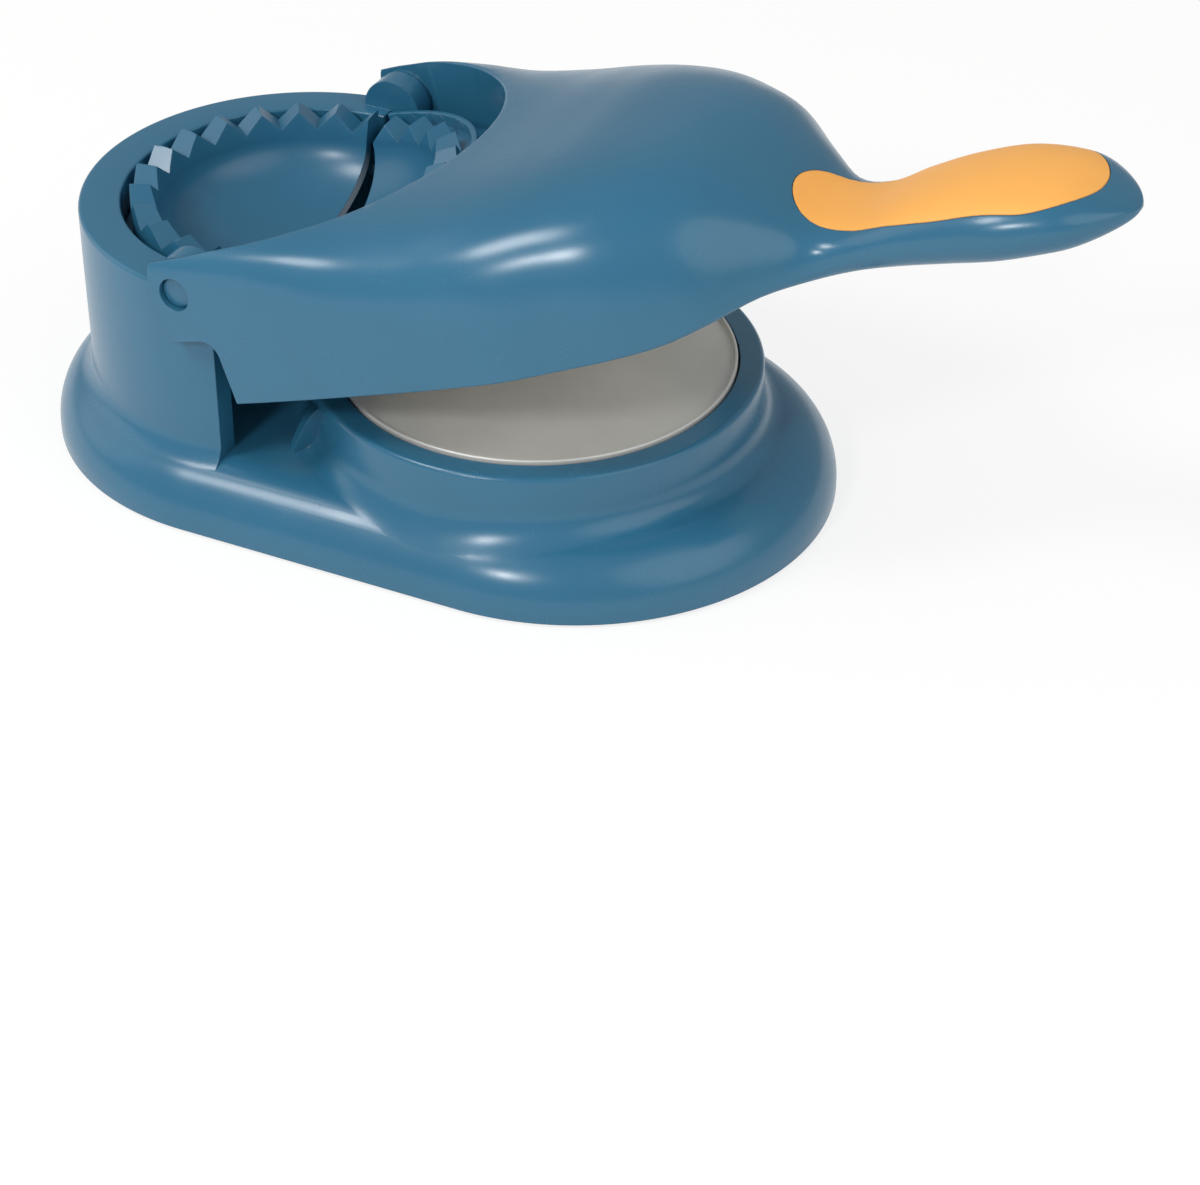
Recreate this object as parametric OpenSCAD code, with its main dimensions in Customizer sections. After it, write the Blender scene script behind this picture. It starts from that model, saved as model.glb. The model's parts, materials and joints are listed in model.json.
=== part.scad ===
// Two-in-one hand press for filled dough: a dough table with a steel plate at one end,
// a tower with a folding crimping mould at the other, and one lever that works both.
// The pieces are drawn with the lever down and the dough table on the Z axis, then the
// lever is swung up about its pivot and the whole press is centred over its footprint.

/* [Base] */
// How far the skirt stands out beyond the pedestal or the tower, whichever is wider
skirt_out = 7.9; // [5:0.1:16]
// Straight lip at the foot of the skirt
skirt_lip = 1.5; // [0.5:0.1:3]
// Width of the round shoulder of the skirt
shoulder_w = 13; // [9:0.5:16]
// Height of the round shoulder of the skirt
shoulder_h = 13; // [10:0.5:16]
// Length of base behind the tower
heel = 8.6; // [6:0.1:20]
// Length of base ahead of the dough table
toe = 17.5; // [10:0.1:40]
// Wall of the moulded shells
wall = 2.4; // [1.8:0.1:3]
// Height of the shell's lower edge above the surface it stands on
foot_gap = 0.8; // [0.5:0.1:2]
// Radius of a rubber foot
foot_r = 8.5; // [6:0.5:10]

/* [Dough table] */
// Radius of the pedestal
table_r = 49.9; // [46:0.1:60]
// Height of the pedestal's rim
table_top = 29.3; // [27:0.1:32]
// Radius of the steel plate
plate_r = 44; // [36:0.1:45]
// Thickness of the sheet steel
sheet = 0.8; // [0.5:0.1:1]
// Height of the plate's lip above the rim
lip_rise = 0.8; // [0.4:0.1:1]
// Thickness of the plastic carrier under the plate
carrier_t = 3.7; // [2.5:0.1:5]
// Thickness of the sheet of dough that is pressed
dough_t = 1.5; // [1:0.1:3]

/* [Tower] */
// Distance from the dough table's axis to the tower's axis
reach = 59; // [54:0.1:71]
// Radius of the tower
tower_r = 48.5; // [46:0.1:59]
// Radius of the well in the tower's top
well_r = 39.2; // [36:0.1:41]
// Height of the tower's top face
tower_top = 56; // [52:0.1:64]
// Height of the pivot axis above the tower's top face
axis_rise = 0.3; // [0.3:0.1:1]
// How far the tower's wall runs past the pivot axis
wall_end = 6.4; // [6:0.1:8]
// Thickness of the pillar at each end of the tower's wall
pillar_t = 5.7; // [5:0.1:6]

/* [Mould] */
// Radius of the bowl
bowl_r = 31; // [26:0.5:31.5]
// Depth of the bowl
bowl_deep = 15; // [10:0.5:16]
// Wall of the mould
mould_wall = 2; // [1.5:0.1:2.5]
// Outer radius of the toothed rim
rim_r = 37; // [35:0.1:37.5]
// Radius of the collar round the front half
collar_r = 41.5; // [40.5:0.1:42]
// Thickness of the collar
collar_t = 1.5; // [1:0.1:2]
// Height of a crimping tooth
tooth_h = 4; // [2:0.1:4]
// Teeth in a half circle
teeth = 12; // [8:2:16]
// Gap left for the dough between the closed teeth
crimp_gap = 1; // [0.8:0.1:1.5]

/* [Pivot] */
// Radius of the ear that holds a pivot pin
ear_r = 7; // [6:0.1:7.5]
// Radius of a pin where it turns in the lever
pin_r = 3.65; // [3:0.05:4.4]
// Radius of a pin where it is pressed into the tower
pin_root_r = 3; // [2.4:0.1:3]
// Running clearance between pin and lever
pin_gap = 0.05; // [0.03:0.01:0.08]
// Thickness of a friction washer
washer_t = 0.45; // [0.3:0.05:0.5]
// Depth of a pin's end below the outside of the lever
pin_sunk = 2.2; // [1:0.1:2.4]

/* [Lever] */
// Angle of the raised lever at rest, from fully down
lever_open = 18.8; // [5:0.1:60]
// Gap between the yoke and the tower
yoke_gap = 1.5; // [1:0.1:2.5]
// Thickness of a cheek
cheek_t = 2.5; // [2.2:0.1:4]
// Length of the body from the pivot axis to the waist
body_len = 143; // [130:1:160]
// Length of the handle from the waist to the tip
handle_len = 52.8; // [45:0.1:80]
// Half the width of the handle
handle_half_w = 13.4; // [11.5:0.1:18]
// Height of the lever's lower edge above the table's rim
edge_gap = 0.7; // [0.4:0.1:1.5]
// Height of the crown above the pivot axis
crown = 7.6; // [6:0.1:14]
// Height of the cheeks above the pivot axis
cheek_rise = 10.2; // [9:0.1:14]
// Thickness of the handle at its end
handle_t = 12.8; // [11:0.1:16]
// Thickness of the grip inlay
grip_t = 2.2; // [1.5:0.1:2.5]

/* [Hidden] */
$fn = 96;

blue = "#467A96";
dark_blue = "#2F6480";
orange = "#FCB45A";
steel = "#C8C8C4";
rubber = "#3A3A3C";

fit_gap = 0.3;        // between a cover or carrier and the shell it drops into
head_gap = 0.45;      // under the heads of the grip's screws, which sit on a curved wall
small_screw_r = 1.1;  // screws of the moulds and of the handle cover
grip_screw_r = 0.9;
eps = 1;              // how far a cut runs past the face it opens
arc_steps = 8;        // straight facets that make a quarter round of a profile

// Base
base_half_w = max(table_r, tower_r) + skirt_out;
base_low = foot_gap;
lip_top = base_low + skirt_lip;
deck = lip_top + shoulder_h;
tower_x = -reach;
back_x = tower_x - tower_r - heel;
front_x = table_r + toe;
rear_c = back_x + base_half_w;
front_c = front_x - base_half_w;
foot_fillet_w = 3.8;
foot_fillet_h = 5;
fillet_low = deck - 2.4;
cover_low = base_low + 0.6;
cover_top = cover_low + wall;
post_r = 3.6;
post_top = deck - 2.1;

// Dough table
plate_seat = table_top + lip_rise - 1.2 - sheet - carrier_t;
plate_face = table_top + lip_rise - 1.2;
recess_r = plate_r + 0.5;
pedestal_in = table_r - wall;
rib_t = 3;
rib_angle = 223;

// Tower and pivot
axis_z = tower_top + axis_rise;
ledge = tower_top - 10;
ledge_r = 33.5;
pillar_in = tower_r - 0.3 - pillar_t;
ear_face = tower_r - 0.3;
hinge_gap = 0.3;

// Mould halves: heights are measured from the pivot axis
front_tip = 0.5;
rear_tip = tooth_h - front_tip - crimp_gap;
tooth_pitch = 180 / teeth;
bowl_top = -2.5;
bowl_floor = bowl_deep + mould_wall - bowl_top;
seat_gap = 0.2;
boss_r = 2.6;
boss_pitch_r = rim_r - 0.8;

// Lever, drawn down
yoke_r = tower_r + yoke_gap;
cheek_out = yoke_r + cheek_t;
lever_low = table_top + edge_gap;
cheek_low = axis_z - 11;
cheek_back = 5.7;
cheek_corner = 6.5;
notch_corner = 4;
notch_ahead = 6;
boss_face = ear_face + washer_t + 0.05;
lever_post_r = 3.2;
handle_post_r = 2.6;
floor_low = ledge - 0.6;
floor_top = floor_low + wall;
floor_in = ledge_r + 0.5;
press_face = plate_face + dough_t;
press_r = plate_r - 1.8;
press_top = press_face + sheet + 3;
panel_low = press_top + 0.2;
panel_top = panel_low + wall;
tip_a = body_len + handle_len;
nose = 13;
grip_from = body_len - 22.5;
grip_to = tip_a - 6.3;
grip_half = handle_half_w - 3.4;
grip_low = lever_low + 6;
handle_panel = 2;
panel_end = grip_from - 5.5;
handle_panel_to = tip_a - nose - 1;

// The frame stands on the table under the middle of the press at rest
tip_drop = axis_z - lever_low - 7;
tip_x = tower_x + tip_a * cos(lever_open) + tip_drop * sin(lever_open);
frame_x = (back_x + tip_x) / 2;

// Places of the fasteners
base_screw_at = [[back_x + 12, 0], [tower_x - 3, base_half_w - 14.8],
    [tower_x - 3, 14.8 - base_half_w], [tower_x + 37, base_half_w - 10.3],
    [tower_x + 37, 10.3 - base_half_w], [front_x - 11, 0]];
foot_at_x = [back_x + 28, front_x - 31.4];
foot_at_y = base_half_w - 24;
plate_screw_r = 30;
mould_screw_angles = [-58, 0, 58];
press_screw_at = [for (t = [-60, 0, 60]) 0.71 * press_r * [cos(t), sin(t)]];
panel_post_at = [for (t = [-76, -22, 22, 76])
    [reach + (press_r + 1.8) * cos(t), (press_r + 1.8) * sin(t)]];
handle_post_at = [body_len - 7, body_len + handle_len * 0.65];
grip_screw_at = [body_len + 3, body_len + handle_len * 0.45];

// Shape of the lever along its length: distance from the pivot axis, half the width,
// top and lower edge above the surface, squareness of the section, underside rounding
handle_low = lever_low + 2.4;
LEVER = [
    [-8, cheek_out, axis_z + cheek_rise, lever_low, 14, 0.6],
    [6, cheek_out, axis_z + cheek_rise, lever_low, 12, 0.6],
    [body_len * 0.17, cheek_out, axis_z + crown + 1.4, lever_low, 8, 0.6],
    [body_len * 0.27, cheek_out - 0.2, axis_z + crown, lever_low, 5.6, 0.6],
    [body_len * 0.38, width_at(0.985), axis_z + crown - 0.5, lever_low, 4.7, 0.6],
    [body_len * 0.5, width_at(0.95), axis_z + crown, lever_low, 4.2, 0.6],
    [body_len * 0.62, width_at(0.81), axis_z + crown - 1.4, lever_low, 3.8, 0.6],
    [body_len * 0.74, width_at(0.53), axis_z + crown - 4, lever_low + 0.1, 3.4, 0.8],
    [body_len * 0.83, width_at(0.27), axis_z + crown - 10.2, lever_low + 0.6, 3.1, 1.5],
    [body_len * 0.92, width_at(0.07), handle_low + 13.4, lever_low + 1.6, 2.8, 2.8],
    [body_len, handle_half_w, handle_low + 9.4, handle_low, 2.6, 4],
    [body_len + handle_len * 0.27, handle_half_w - 0.2, handle_low + 11,
        handle_low + 0.3, 2.5, 4.5],
    [body_len + handle_len * 0.53, handle_half_w + 0.2, handle_low + handle_t,
        handle_low + 0.6, 2.5, 5],
    [body_len + handle_len * 0.76, handle_half_w - 0.8, handle_low + handle_t - 0.8,
        handle_low + 1.2, 2.5, 5],
    [tip_a, handle_half_w - 3, handle_low + handle_t - 4.4, handle_low + 3, 2.4, 5]];

function width_at(share) = handle_half_w + (cheek_out - handle_half_w) * share;

function slope_at(row, i, k) = let(a = max(i - 1, 0), b = min(i + 1, len(row) - 1))
    (row[b][k] - row[a][k]) / (row[b][0] - row[a][0]);

function span_of(row, x, i = 0) = i >= len(row) - 2 || x < row[i + 1][0] ? i : span_of(row, x, i + 1);

// A smooth curve through column k of a table of stations
function smooth(row, x, k) = let(
        i = span_of(row, x),
        h = row[i + 1][0] - row[i][0],
        t = (x - row[i][0]) / h)
    (2 * t^3 - 3 * t^2 + 1) * row[i][k] + (t^3 - 2 * t^2 + t) * h * slope_at(row, i, k)
    + (3 * t^2 - 2 * t^3) * row[i + 1][k] + (t^3 - t^2) * h * slope_at(row, i + 1, k);

// The tip is closed by a quarter round
function nose_at(a) = a <= tip_a - nose ? 1 : sqrt(max(0.0004, 1 - ((a - tip_a + nose) / nose)^2));

// Half width, top, lower edge, squareness and underside rounding at a distance from the axis
function lever_at(a, inset, drop, low) = let(
        f = nose_at(a),
        top = smooth(LEVER, a, 2),
        bottom = smooth(LEVER, a, 3),
        mid = (top + bottom) / 2)
    [smooth(LEVER, a, 1) * f - inset, mid + (top - mid) * f - drop,
        mid + (bottom - mid) * f - low, smooth(LEVER, a, 4), smooth(LEVER, a, 5) * f];

function power(c, n) = sign(c) * abs(c)^(2 / n);

// One cross-section of the lever, from its underside round over the top
function lever_section(a, inset, drop, low, steps) = let(
        s = lever_at(a, inset, drop, low),
        w = s[0],
        r = s[4],
        base = s[2] + r,
        rise = s[1] - base)
    concat(
        [for (t = [-90:30:-30]) [a + tower_x, w - r + r * cos(t), base + r * sin(t)]],
        [for (k = [0:steps]) let(t = 180 * k / steps)
            [a + tower_x, w * power(cos(t), s[3]), base + rise * power(sin(t), s[3])]],
        [for (t = [-30:-30:-90]) [a + tower_x, -(w - r + r * cos(t)), base + r * sin(t)]]);

// A solid skinned over cross-sections that all have the same number of points
module skin(sections) {
    n = len(sections[0]);
    m = len(sections);
    polyhedron(
        points = [for (s = sections) each s],
        faces = concat(
            [[for (i = [0:n - 1]) i]],
            [[for (i = [n - 1:-1:0]) (m - 1) * n + i]],
            [for (j = [0:m - 2], i = [0:n - 1]) let(k = (i + 1) % n)
                [j * n + i, (j + 1) * n + i, (j + 1) * n + k]],
            [for (j = [0:m - 2], i = [0:n - 1]) let(k = (i + 1) % n)
                [j * n + i, (j + 1) * n + k, j * n + k]]));
}

// Stations on one common grid, so that solids skinned over them share their surfaces;
// past the start of the nose they crowd to the tip
function stations(from, to, pitch) = let(stop = min(to, tip_a - nose))
    concat(
        [from],
        [for (a = [ceil(from / pitch + 0.3) * pitch:pitch:stop - 1]) a],
        [stop],
        [for (t = [18:18:90]) let(a = tip_a - nose + nose * sin(t)) if (a <= to + 0.01) a]);

module lever_solid(from, to, steps, inset = 0, drop = 0, low = 0, pitch = 6)
    skin([for (a = stations(from, to, pitch)) lever_section(a, inset, drop, low, steps)]);

module raised() translate([tower_x, 0, axis_z]) rotate([0, -lever_open, 0])
    translate([-tower_x, 0, -axis_z]) children();

module placed() translate([-frame_x, 0, 0]) children();

module placed_lever() placed() raised() children();

module both_sides() {
    children();
    mirror([0, 1, 0]) children();
}

// A profile of [distance from the middle, height] run round the base's outline
module round_base(profile) {
    translate([rear_c, 0, 0]) rotate([0, 0, 90]) rotate_extrude(angle = 180) polygon(profile);
    translate([front_c, 0, 0]) rotate([0, 0, -90]) rotate_extrude(angle = 180) polygon(profile);
    both_sides() translate([rear_c, 0, 0]) rotate([90, 0, 90])
        linear_extrude(front_c - rear_c) polygon(profile);
}

function shoulder(inset) = [for (k = [0:arc_steps]) let(t = 90 * k / arc_steps)
    [base_half_w - shoulder_w + (shoulder_w - inset) * cos(t), lip_top + (shoulder_h - inset) * sin(t)]];

// Concave foot of a round wall of radius r
function foot_curve(r) = [for (k = [0:arc_steps]) let(t = 90 * k / arc_steps)
    [r + foot_fillet_w * (1 - sin(t)), fillet_low + foot_fillet_h * (1 - cos(t))]];

module along_y(x, y0, y1, r, z = axis_z) translate([x, y0, z]) rotate([-90, 0, 0])
    cylinder(h = y1 - y0, r = r);

// A pan-head screw that points up from z = 0
module screw(length, r, head_r, head_h) {
    slot_w = r * 0.6;
    difference() {
        union() {
            translate([0, 0, -head_h]) cylinder(h = head_h, r = head_r, $fn = 32);
            cylinder(h = length, r = r, $fn = 32);
        }
        for (turn = [0, 90]) rotate([0, 0, turn])
            translate([-head_r * 0.6, -slot_w / 2, -head_h - eps])
                cube([head_r * 1.2, slot_w, head_h * 0.6 + eps]);
    }
}

// ---- Base ----

module pedestal() {
    edge = 1.2;
    rotate_extrude() polygon(concat(
        [[0, base_low + 4], [table_r + foot_fillet_w, base_low + 4]],
        foot_curve(table_r),
        [[table_r, table_top - edge]],
        [for (t = [30:30:90]) [table_r - edge + edge * cos(t), table_top - edge + edge * sin(t)]],
        [[0, table_top]]));
}

// The C of the tower: everything behind the axis, and the outer wall a little past it
module tower_side() {
    far_side = 2 * tower_r;
    translate([-far_side, -far_side, 0])
        cube([far_side - hinge_gap, 2 * far_side, 2 * tower_top]);
    both_sides() translate([-far_side, pillar_in, 0])
        cube([far_side + wall_end, far_side, 2 * tower_top]);
}

module tower_wall() {
    edge = 1;
    skirt_in = well_r + wall;
    intersection() {
        tower_side();
        rotate_extrude() polygon(concat(
            [[tower_r - wall, deck - eps], [tower_r + foot_fillet_w, base_low + 4]],
            foot_curve(tower_r),
            [[tower_r, tower_top - edge], [tower_r - edge * 0.3, tower_top - edge * 0.3],
                [tower_r - edge, tower_top], [well_r, tower_top], [well_r, ledge],
                [ledge_r, ledge], [ledge_r, ledge - wall], [skirt_in, ledge - wall],
                [skirt_in, tower_top - wall], [tower_r - wall, tower_top - wall]]));
    }
}

module pillar() intersection() {
    cylinder(h = tower_top, r = tower_r - 0.1);
    translate([-4, pillar_in, deck - eps]) cube([4 + wall_end, pillar_t + eps, tower_top - deck + eps]);
}

module flank_rib() rotate([0, 0, rib_angle]) translate([table_r - eps, -rib_t / 2, deck - eps])
    rotate([90, 0, 0]) translate([0, 0, -rib_t]) linear_extrude(rib_t)
        polygon([[0, 0], [foot_fillet_w + 2, 0], [foot_fillet_w - 1, 7], [eps, 11], [0, 11]]);

module base_shell() color(blue) placed() difference() {
    union() {
        difference() {
            union() {
                round_base(concat([[0, base_low], [base_half_w, base_low]], shoulder(0), [[0, deck]]));
                pedestal();
                translate([tower_x, 0, 0]) tower_wall();
            }
            round_base(concat([[0, base_low - eps], [base_half_w - wall, base_low - eps]],
                shoulder(wall), [[0, deck - wall]]));
            translate([0, 0, deck - wall - eps])
                cylinder(h = plate_seat - wall - deck + wall + eps, r = pedestal_in);
            translate([0, 0, plate_seat]) cylinder(h = table_top, r = recess_r);
        }
        translate([tower_x, 0, 0]) {
            both_sides() pillar();
            both_sides() along_y(0, pillar_in, ear_face, ear_r);
        }
        both_sides() flank_rib();
        for (p = base_screw_at) translate([p[0], p[1], cover_top])
            cylinder(h = post_top - cover_top, r = post_r);
    }
    // Room for the washers and the lever's bosses on the outside of the tower
    both_sides() along_y(tower_x, ear_face, tower_r + eps, ear_r + 0.5);
    both_sides() along_y(tower_x, pillar_in - eps, ear_face + eps, pin_root_r);
    for (p = base_screw_at) translate([p[0], p[1], cover_top - eps])
        cylinder(h = 8 + eps, r = 1.5);
    for (t = [60:120:300]) rotate([0, 0, t]) translate([plate_screw_r, 0, deck])
        cylinder(h = plate_seat, r = 1.7);
    for (t = mould_screw_angles) translate([tower_x, 0, 0]) rotate([0, 0, 180 + t])
        translate([boss_pitch_r, 0, ledge - wall - eps]) cylinder(h = wall + 2 * eps, r = 1.3);
}

module base_cover() color(dark_blue) placed() difference() {
    round_base([[0, cover_low], [base_half_w - wall - fit_gap, cover_low],
        [base_half_w - wall - fit_gap, cover_top], [0, cover_top]]);
    for (p = base_screw_at) translate([p[0], p[1], 0]) {
        cylinder(h = cover_top + eps, r = 1.7);
        cylinder(h = cover_low + 1.4, r = 3.4);
    }
    for (x = foot_at_x, y = [-foot_at_y, foot_at_y]) translate([x, y, 0])
        cylinder(h = cover_top + eps, r = 2.7);
}

module base_screws() color(steel) placed()
    for (p = base_screw_at) translate([p[0], p[1], cover_low + 1.4]) screw(8, 1.5, 3.1, 1.3);

// A rubber foot pushed through the cover
module foot(x, y) color(rubber) placed() translate([x, y, 0]) rotate_extrude() polygon([
    [0, 0], [foot_r - 0.6, 0], [foot_r, 0.5], [foot_r - 0.3, cover_low], [2.6, cover_low],
    [2.6, cover_top + 0.05], [3.4, cover_top + 0.05], [2.2, cover_top + 1.6], [0, cover_top + 1.6]]);

module foot_rear_near() foot(foot_at_x[0], -foot_at_y);
module foot_rear_far() foot(foot_at_x[0], foot_at_y);
module foot_front_near() foot(foot_at_x[1], -foot_at_y);
module foot_front_far() foot(foot_at_x[1], foot_at_y);

// A shallow dish of sheet steel: flat face, low lip with a rolled edge
module dish(r, face, lip) rotate_extrude() polygon([
    [0, face - sheet], [r - 0.4, face - sheet], [r, face - sheet + 0.4], [r, face + lip - 0.4],
    [r - 0.2, face + lip], [r - sheet + 0.1, face + lip], [r - sheet, face + lip - 0.4],
    [r - sheet - 0.4, face], [0, face]]);

module dough_plate() color(steel) placed() dish(plate_r, plate_face, 1.2);

module plate_carrier() color("#D8D6D0") placed() difference() {
    translate([0, 0, plate_seat]) cylinder(h = carrier_t, r = plate_r - 0.6);
    for (t = [60:120:300]) rotate([0, 0, t]) translate([plate_screw_r, 0, plate_seat - eps])
        cylinder(h = carrier_t - 0.6 + eps, r = 1.5);
}

module plate_screws() color(steel) placed() for (t = [60:120:300]) rotate([0, 0, t])
    translate([plate_screw_r, 0, plate_seat - wall]) screw(wall + carrier_t - 0.7, 1.5, 3, 1.8);

// ---- Mould halves ----

// V grooves cut the rim into teeth; the first valley is at the angle given
module tooth_grooves(first, tip) {
    half = (bowl_r + rim_r) / 2 * sin(tooth_pitch / 2);
    for (k = [-teeth / 2:teeth / 2]) rotate([0, 0, first + k * tooth_pitch])
        translate([bowl_r - 3, 0, tip]) rotate([90, 0, 90]) linear_extrude(rim_r - bowl_r + 6)
            polygon([[-half * 1.25, tooth_h * 0.25], [0, -tooth_h], [half * 1.25, tooth_h * 0.25]]);
}

function quarter_bowl(r, top, depth) = [for (k = [0:arc_steps]) let(t = 90 * k / arc_steps)
    [r * sin(t), top - depth * cos(t)]];

function reversed(row) = [for (k = [len(row) - 1:-1:0]) row[k]];

// Half of a toothed bowl, on the +X side of the pivot axis, with its mating plane at z = 0
module half_mould(tip, first, seat, flange) {
    rim_low = min(tip - tooth_h, bowl_top) - mould_wall;
    difference() {
        union() {
            rotate_extrude() polygon(concat(
                quarter_bowl(bowl_r, bowl_top, bowl_deep),
                [[bowl_r + 1.5, tip], [rim_r, tip], [rim_r, seat], [rim_r - mould_wall, seat],
                    [rim_r - mould_wall, rim_low]],
                reversed(quarter_bowl(bowl_r + mould_wall, rim_low, rim_low + bowl_floor))));
            rotate_extrude() polygon(flange);
            for (t = mould_screw_angles) rotate([0, 0, t]) translate([boss_pitch_r, 0, seat])
                cylinder(h = rim_low + mould_wall / 2 - seat, r = boss_r, $fn = 32);
        }
        tooth_grooves(first, tip);
        for (t = mould_screw_angles) rotate([0, 0, t]) translate([boss_pitch_r, 0, seat - eps])
            cylinder(h = rim_low - seat + eps, r = small_screw_r, $fn = 32);
        translate([hinge_gap - 4 * rim_r, -2 * rim_r, -2 * rim_r]) cube(4 * rim_r);
    }
}

module rear_mould() color(blue) placed() translate([tower_x, 0, axis_z]) mirror([1, 0, 0]) {
    seat = ledge - axis_z;
    half_mould(rear_tip, tooth_pitch / 2, seat, [[rim_r - mould_wall, seat],
        [well_r - seat_gap, seat], [well_r - seat_gap, seat + mould_wall],
        [rim_r - mould_wall, seat + mould_wall]]);
}

module rear_mould_screws() color(steel) placed() for (t = mould_screw_angles)
    translate([tower_x, 0, ledge - wall]) rotate([0, 0, 180 + t])
        translate([boss_pitch_r, 0, 0]) screw(wall + 4, small_screw_r, 2.2, 1.4);

module front_mould() color(blue) placed_lever() translate([tower_x, 0, axis_z]) {
    seat = floor_top - axis_z;
    shelf = front_tip - tooth_h + 0.4;
    half_mould(front_tip, 0, seat, [[rim_r - mould_wall, seat], [collar_r, seat],
        [collar_r, -0.1], [collar_r - collar_t, -0.1], [collar_r - collar_t, shelf],
        [rim_r - mould_wall, shelf]]);
}

module front_mould_screws() color(steel) placed_lever() for (t = mould_screw_angles)
    translate([tower_x, 0, floor_low]) rotate([0, 0, t])
        translate([boss_pitch_r, 0, 0]) screw(wall + 2.6, small_screw_r, 2.2, 1.4);

// ---- Pivot ----

module pivot_pin() {
    along_y(tower_x, pillar_in + 0.2, ear_face + 0.01, pin_root_r);
    along_y(tower_x, ear_face, cheek_out - pin_sunk - 0.5, pin_r);
    translate([tower_x, cheek_out - pin_sunk - 0.5, axis_z]) rotate([-90, 0, 0])
        cylinder(h = 0.5, r1 = pin_r, r2 = pin_r - 0.5);
}

module pivot_washer() difference() {
    along_y(tower_x, ear_face, ear_face + washer_t, ear_r - 0.7);
    along_y(tower_x, ear_face - eps, ear_face + washer_t + eps, pin_r + pin_gap);
}

module pivot_pin_near() color(blue) placed() mirror([0, 1, 0]) pivot_pin();
module pivot_pin_far() color(blue) placed() pivot_pin();
module pivot_washer_near() color("white") placed() mirror([0, 1, 0]) pivot_washer();
module pivot_washer_far() color("white") placed() pivot_washer();

// ---- Lever ----

// Side view of the space behind and below the cheeks, cut through the whole width
module cheek_cut() {
    far = 3 * tower_r;
    rear = tower_x - cheek_back;
    notch = tower_x + notch_ahead;
    top = axis_z + cheek_rise;
    translate([0, far / 2, 0]) rotate([90, 0, 0]) linear_extrude(far) {
        translate([rear - far, 0]) square([far, far]);
        translate([rear - far, 0]) square([far + notch - rear - notch_corner, cheek_low]);
        translate([notch - notch_corner - 0.01, 0])
            square([notch_corner + 0.01, cheek_low - notch_corner]);
        translate([notch - notch_corner, cheek_low - notch_corner]) intersection() {
            circle(notch_corner);
            square(notch_corner);
        }
        difference() {
            translate([rear - 0.01, top - cheek_corner]) square([cheek_corner, cheek_corner + eps]);
            translate([rear + cheek_corner, top - cheek_corner]) circle(cheek_corner);
        }
    }
}

module grip_outline(grow) polygon([for (side = [1, -1], k = [0:23])
    let(t = (1 - cos(180 * k / 24)) / 2,
        u = side > 0 ? t : 1 - t,
        half = (grip_half + 2 * u) * (1 - abs(2 * u - 1)^3)^(1 / 3))
    [tower_x + grip_from - grow + (grip_to - grip_from + 2 * grow) * u, side * (half + grow)]]);

function roof_at(a, y) = let(s = lever_at(a, 0, 0, 0), base = s[2] + s[4])
    base + (s[1] - base) * (1 - (abs(y) / s[0])^s[3])^(1 / s[3]);

function handle_inside(a) = smooth(LEVER, a, 3) + 1 + handle_panel;

module lever_shell() color(blue) placed_lever() difference() {
    union() {
        difference() {
            lever_solid(-8, tip_a, 24);
            difference() {
                lever_solid(-4, grip_from - 4, 16, wall, wall, eps);
                translate([tower_x, 0, 0]) cylinder(h = 2 * tower_top, r = yoke_r + wall);
            }
            lever_solid(grip_from - 5, handle_panel_to, 12, wall, wall + grip_t, eps);
            translate([tower_x, 0, 0]) cylinder(h = 2 * tower_top, r = yoke_r);
            translate([tower_x - 2 * yoke_r, -yoke_r, 0]) cube([2 * yoke_r, 2 * yoke_r, 2 * tower_top]);
        }
        // Floor between the front mould and the yoke
        translate([tower_x, 0, floor_low]) intersection() {
            difference() {
                cylinder(h = wall, r = yoke_r + 0.2);
                translate([0, 0, -eps]) cylinder(h = wall + 2 * eps, r = floor_in);
            }
            union() {
                translate([hinge_gap, -pillar_in + fit_gap, 0])
                    cube([2 * yoke_r, 2 * pillar_in - 2 * fit_gap, wall]);
                translate([wall_end + 0.8, -2 * yoke_r, 0]) cube([2 * yoke_r, 4 * yoke_r, wall]);
            }
        }
        both_sides() along_y(tower_x, boss_face, yoke_r + 0.4, ear_r - 0.5);
        for (p = panel_post_at) translate([tower_x + p[0], p[1], panel_top])
            cylinder(h = roof_at(p[0], abs(p[1]) + lever_post_r) - wall / 2 - panel_top,
                r = lever_post_r, $fn = 32);
        for (a = handle_post_at) let(low = handle_inside(a) + fit_gap)
            translate([tower_x + a, 0, low])
                cylinder(h = roof_at(a, 0) - grip_t - wall / 2 - low, r = handle_post_r, $fn = 32);
    }
    cheek_cut();
    both_sides() along_y(tower_x, boss_face - eps, cheek_out + eps, pin_r + pin_gap);
    translate([0, 0, lever_low - eps])
        cylinder(h = panel_low - lever_low + eps, r = plate_r + 1);
    // Pocket for the grip
    difference() {
        translate([0, 0, grip_low]) linear_extrude(tower_top) grip_outline(0.15);
        lever_solid(grip_from - 8, grip_to + 1, 24, drop = grip_t);
    }
    for (p = panel_post_at) translate([tower_x + p[0], p[1], panel_top - eps])
        cylinder(h = 8 + eps, r = 1.2, $fn = 32);
    for (a = handle_post_at) translate([tower_x + a, 0, handle_inside(a) - eps])
        cylinder(h = 2.6 + eps, r = small_screw_r, $fn = 32);
    for (a = grip_screw_at) translate([tower_x + a, 0, handle_inside(a)])
        cylinder(h = 12, r = 1.15, $fn = 32);
    for (t = mould_screw_angles) translate([tower_x, 0, 0]) rotate([0, 0, t])
        translate([boss_pitch_r, 0, floor_low - eps]) cylinder(h = wall + 2 * eps, r = 1.3);
}

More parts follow.
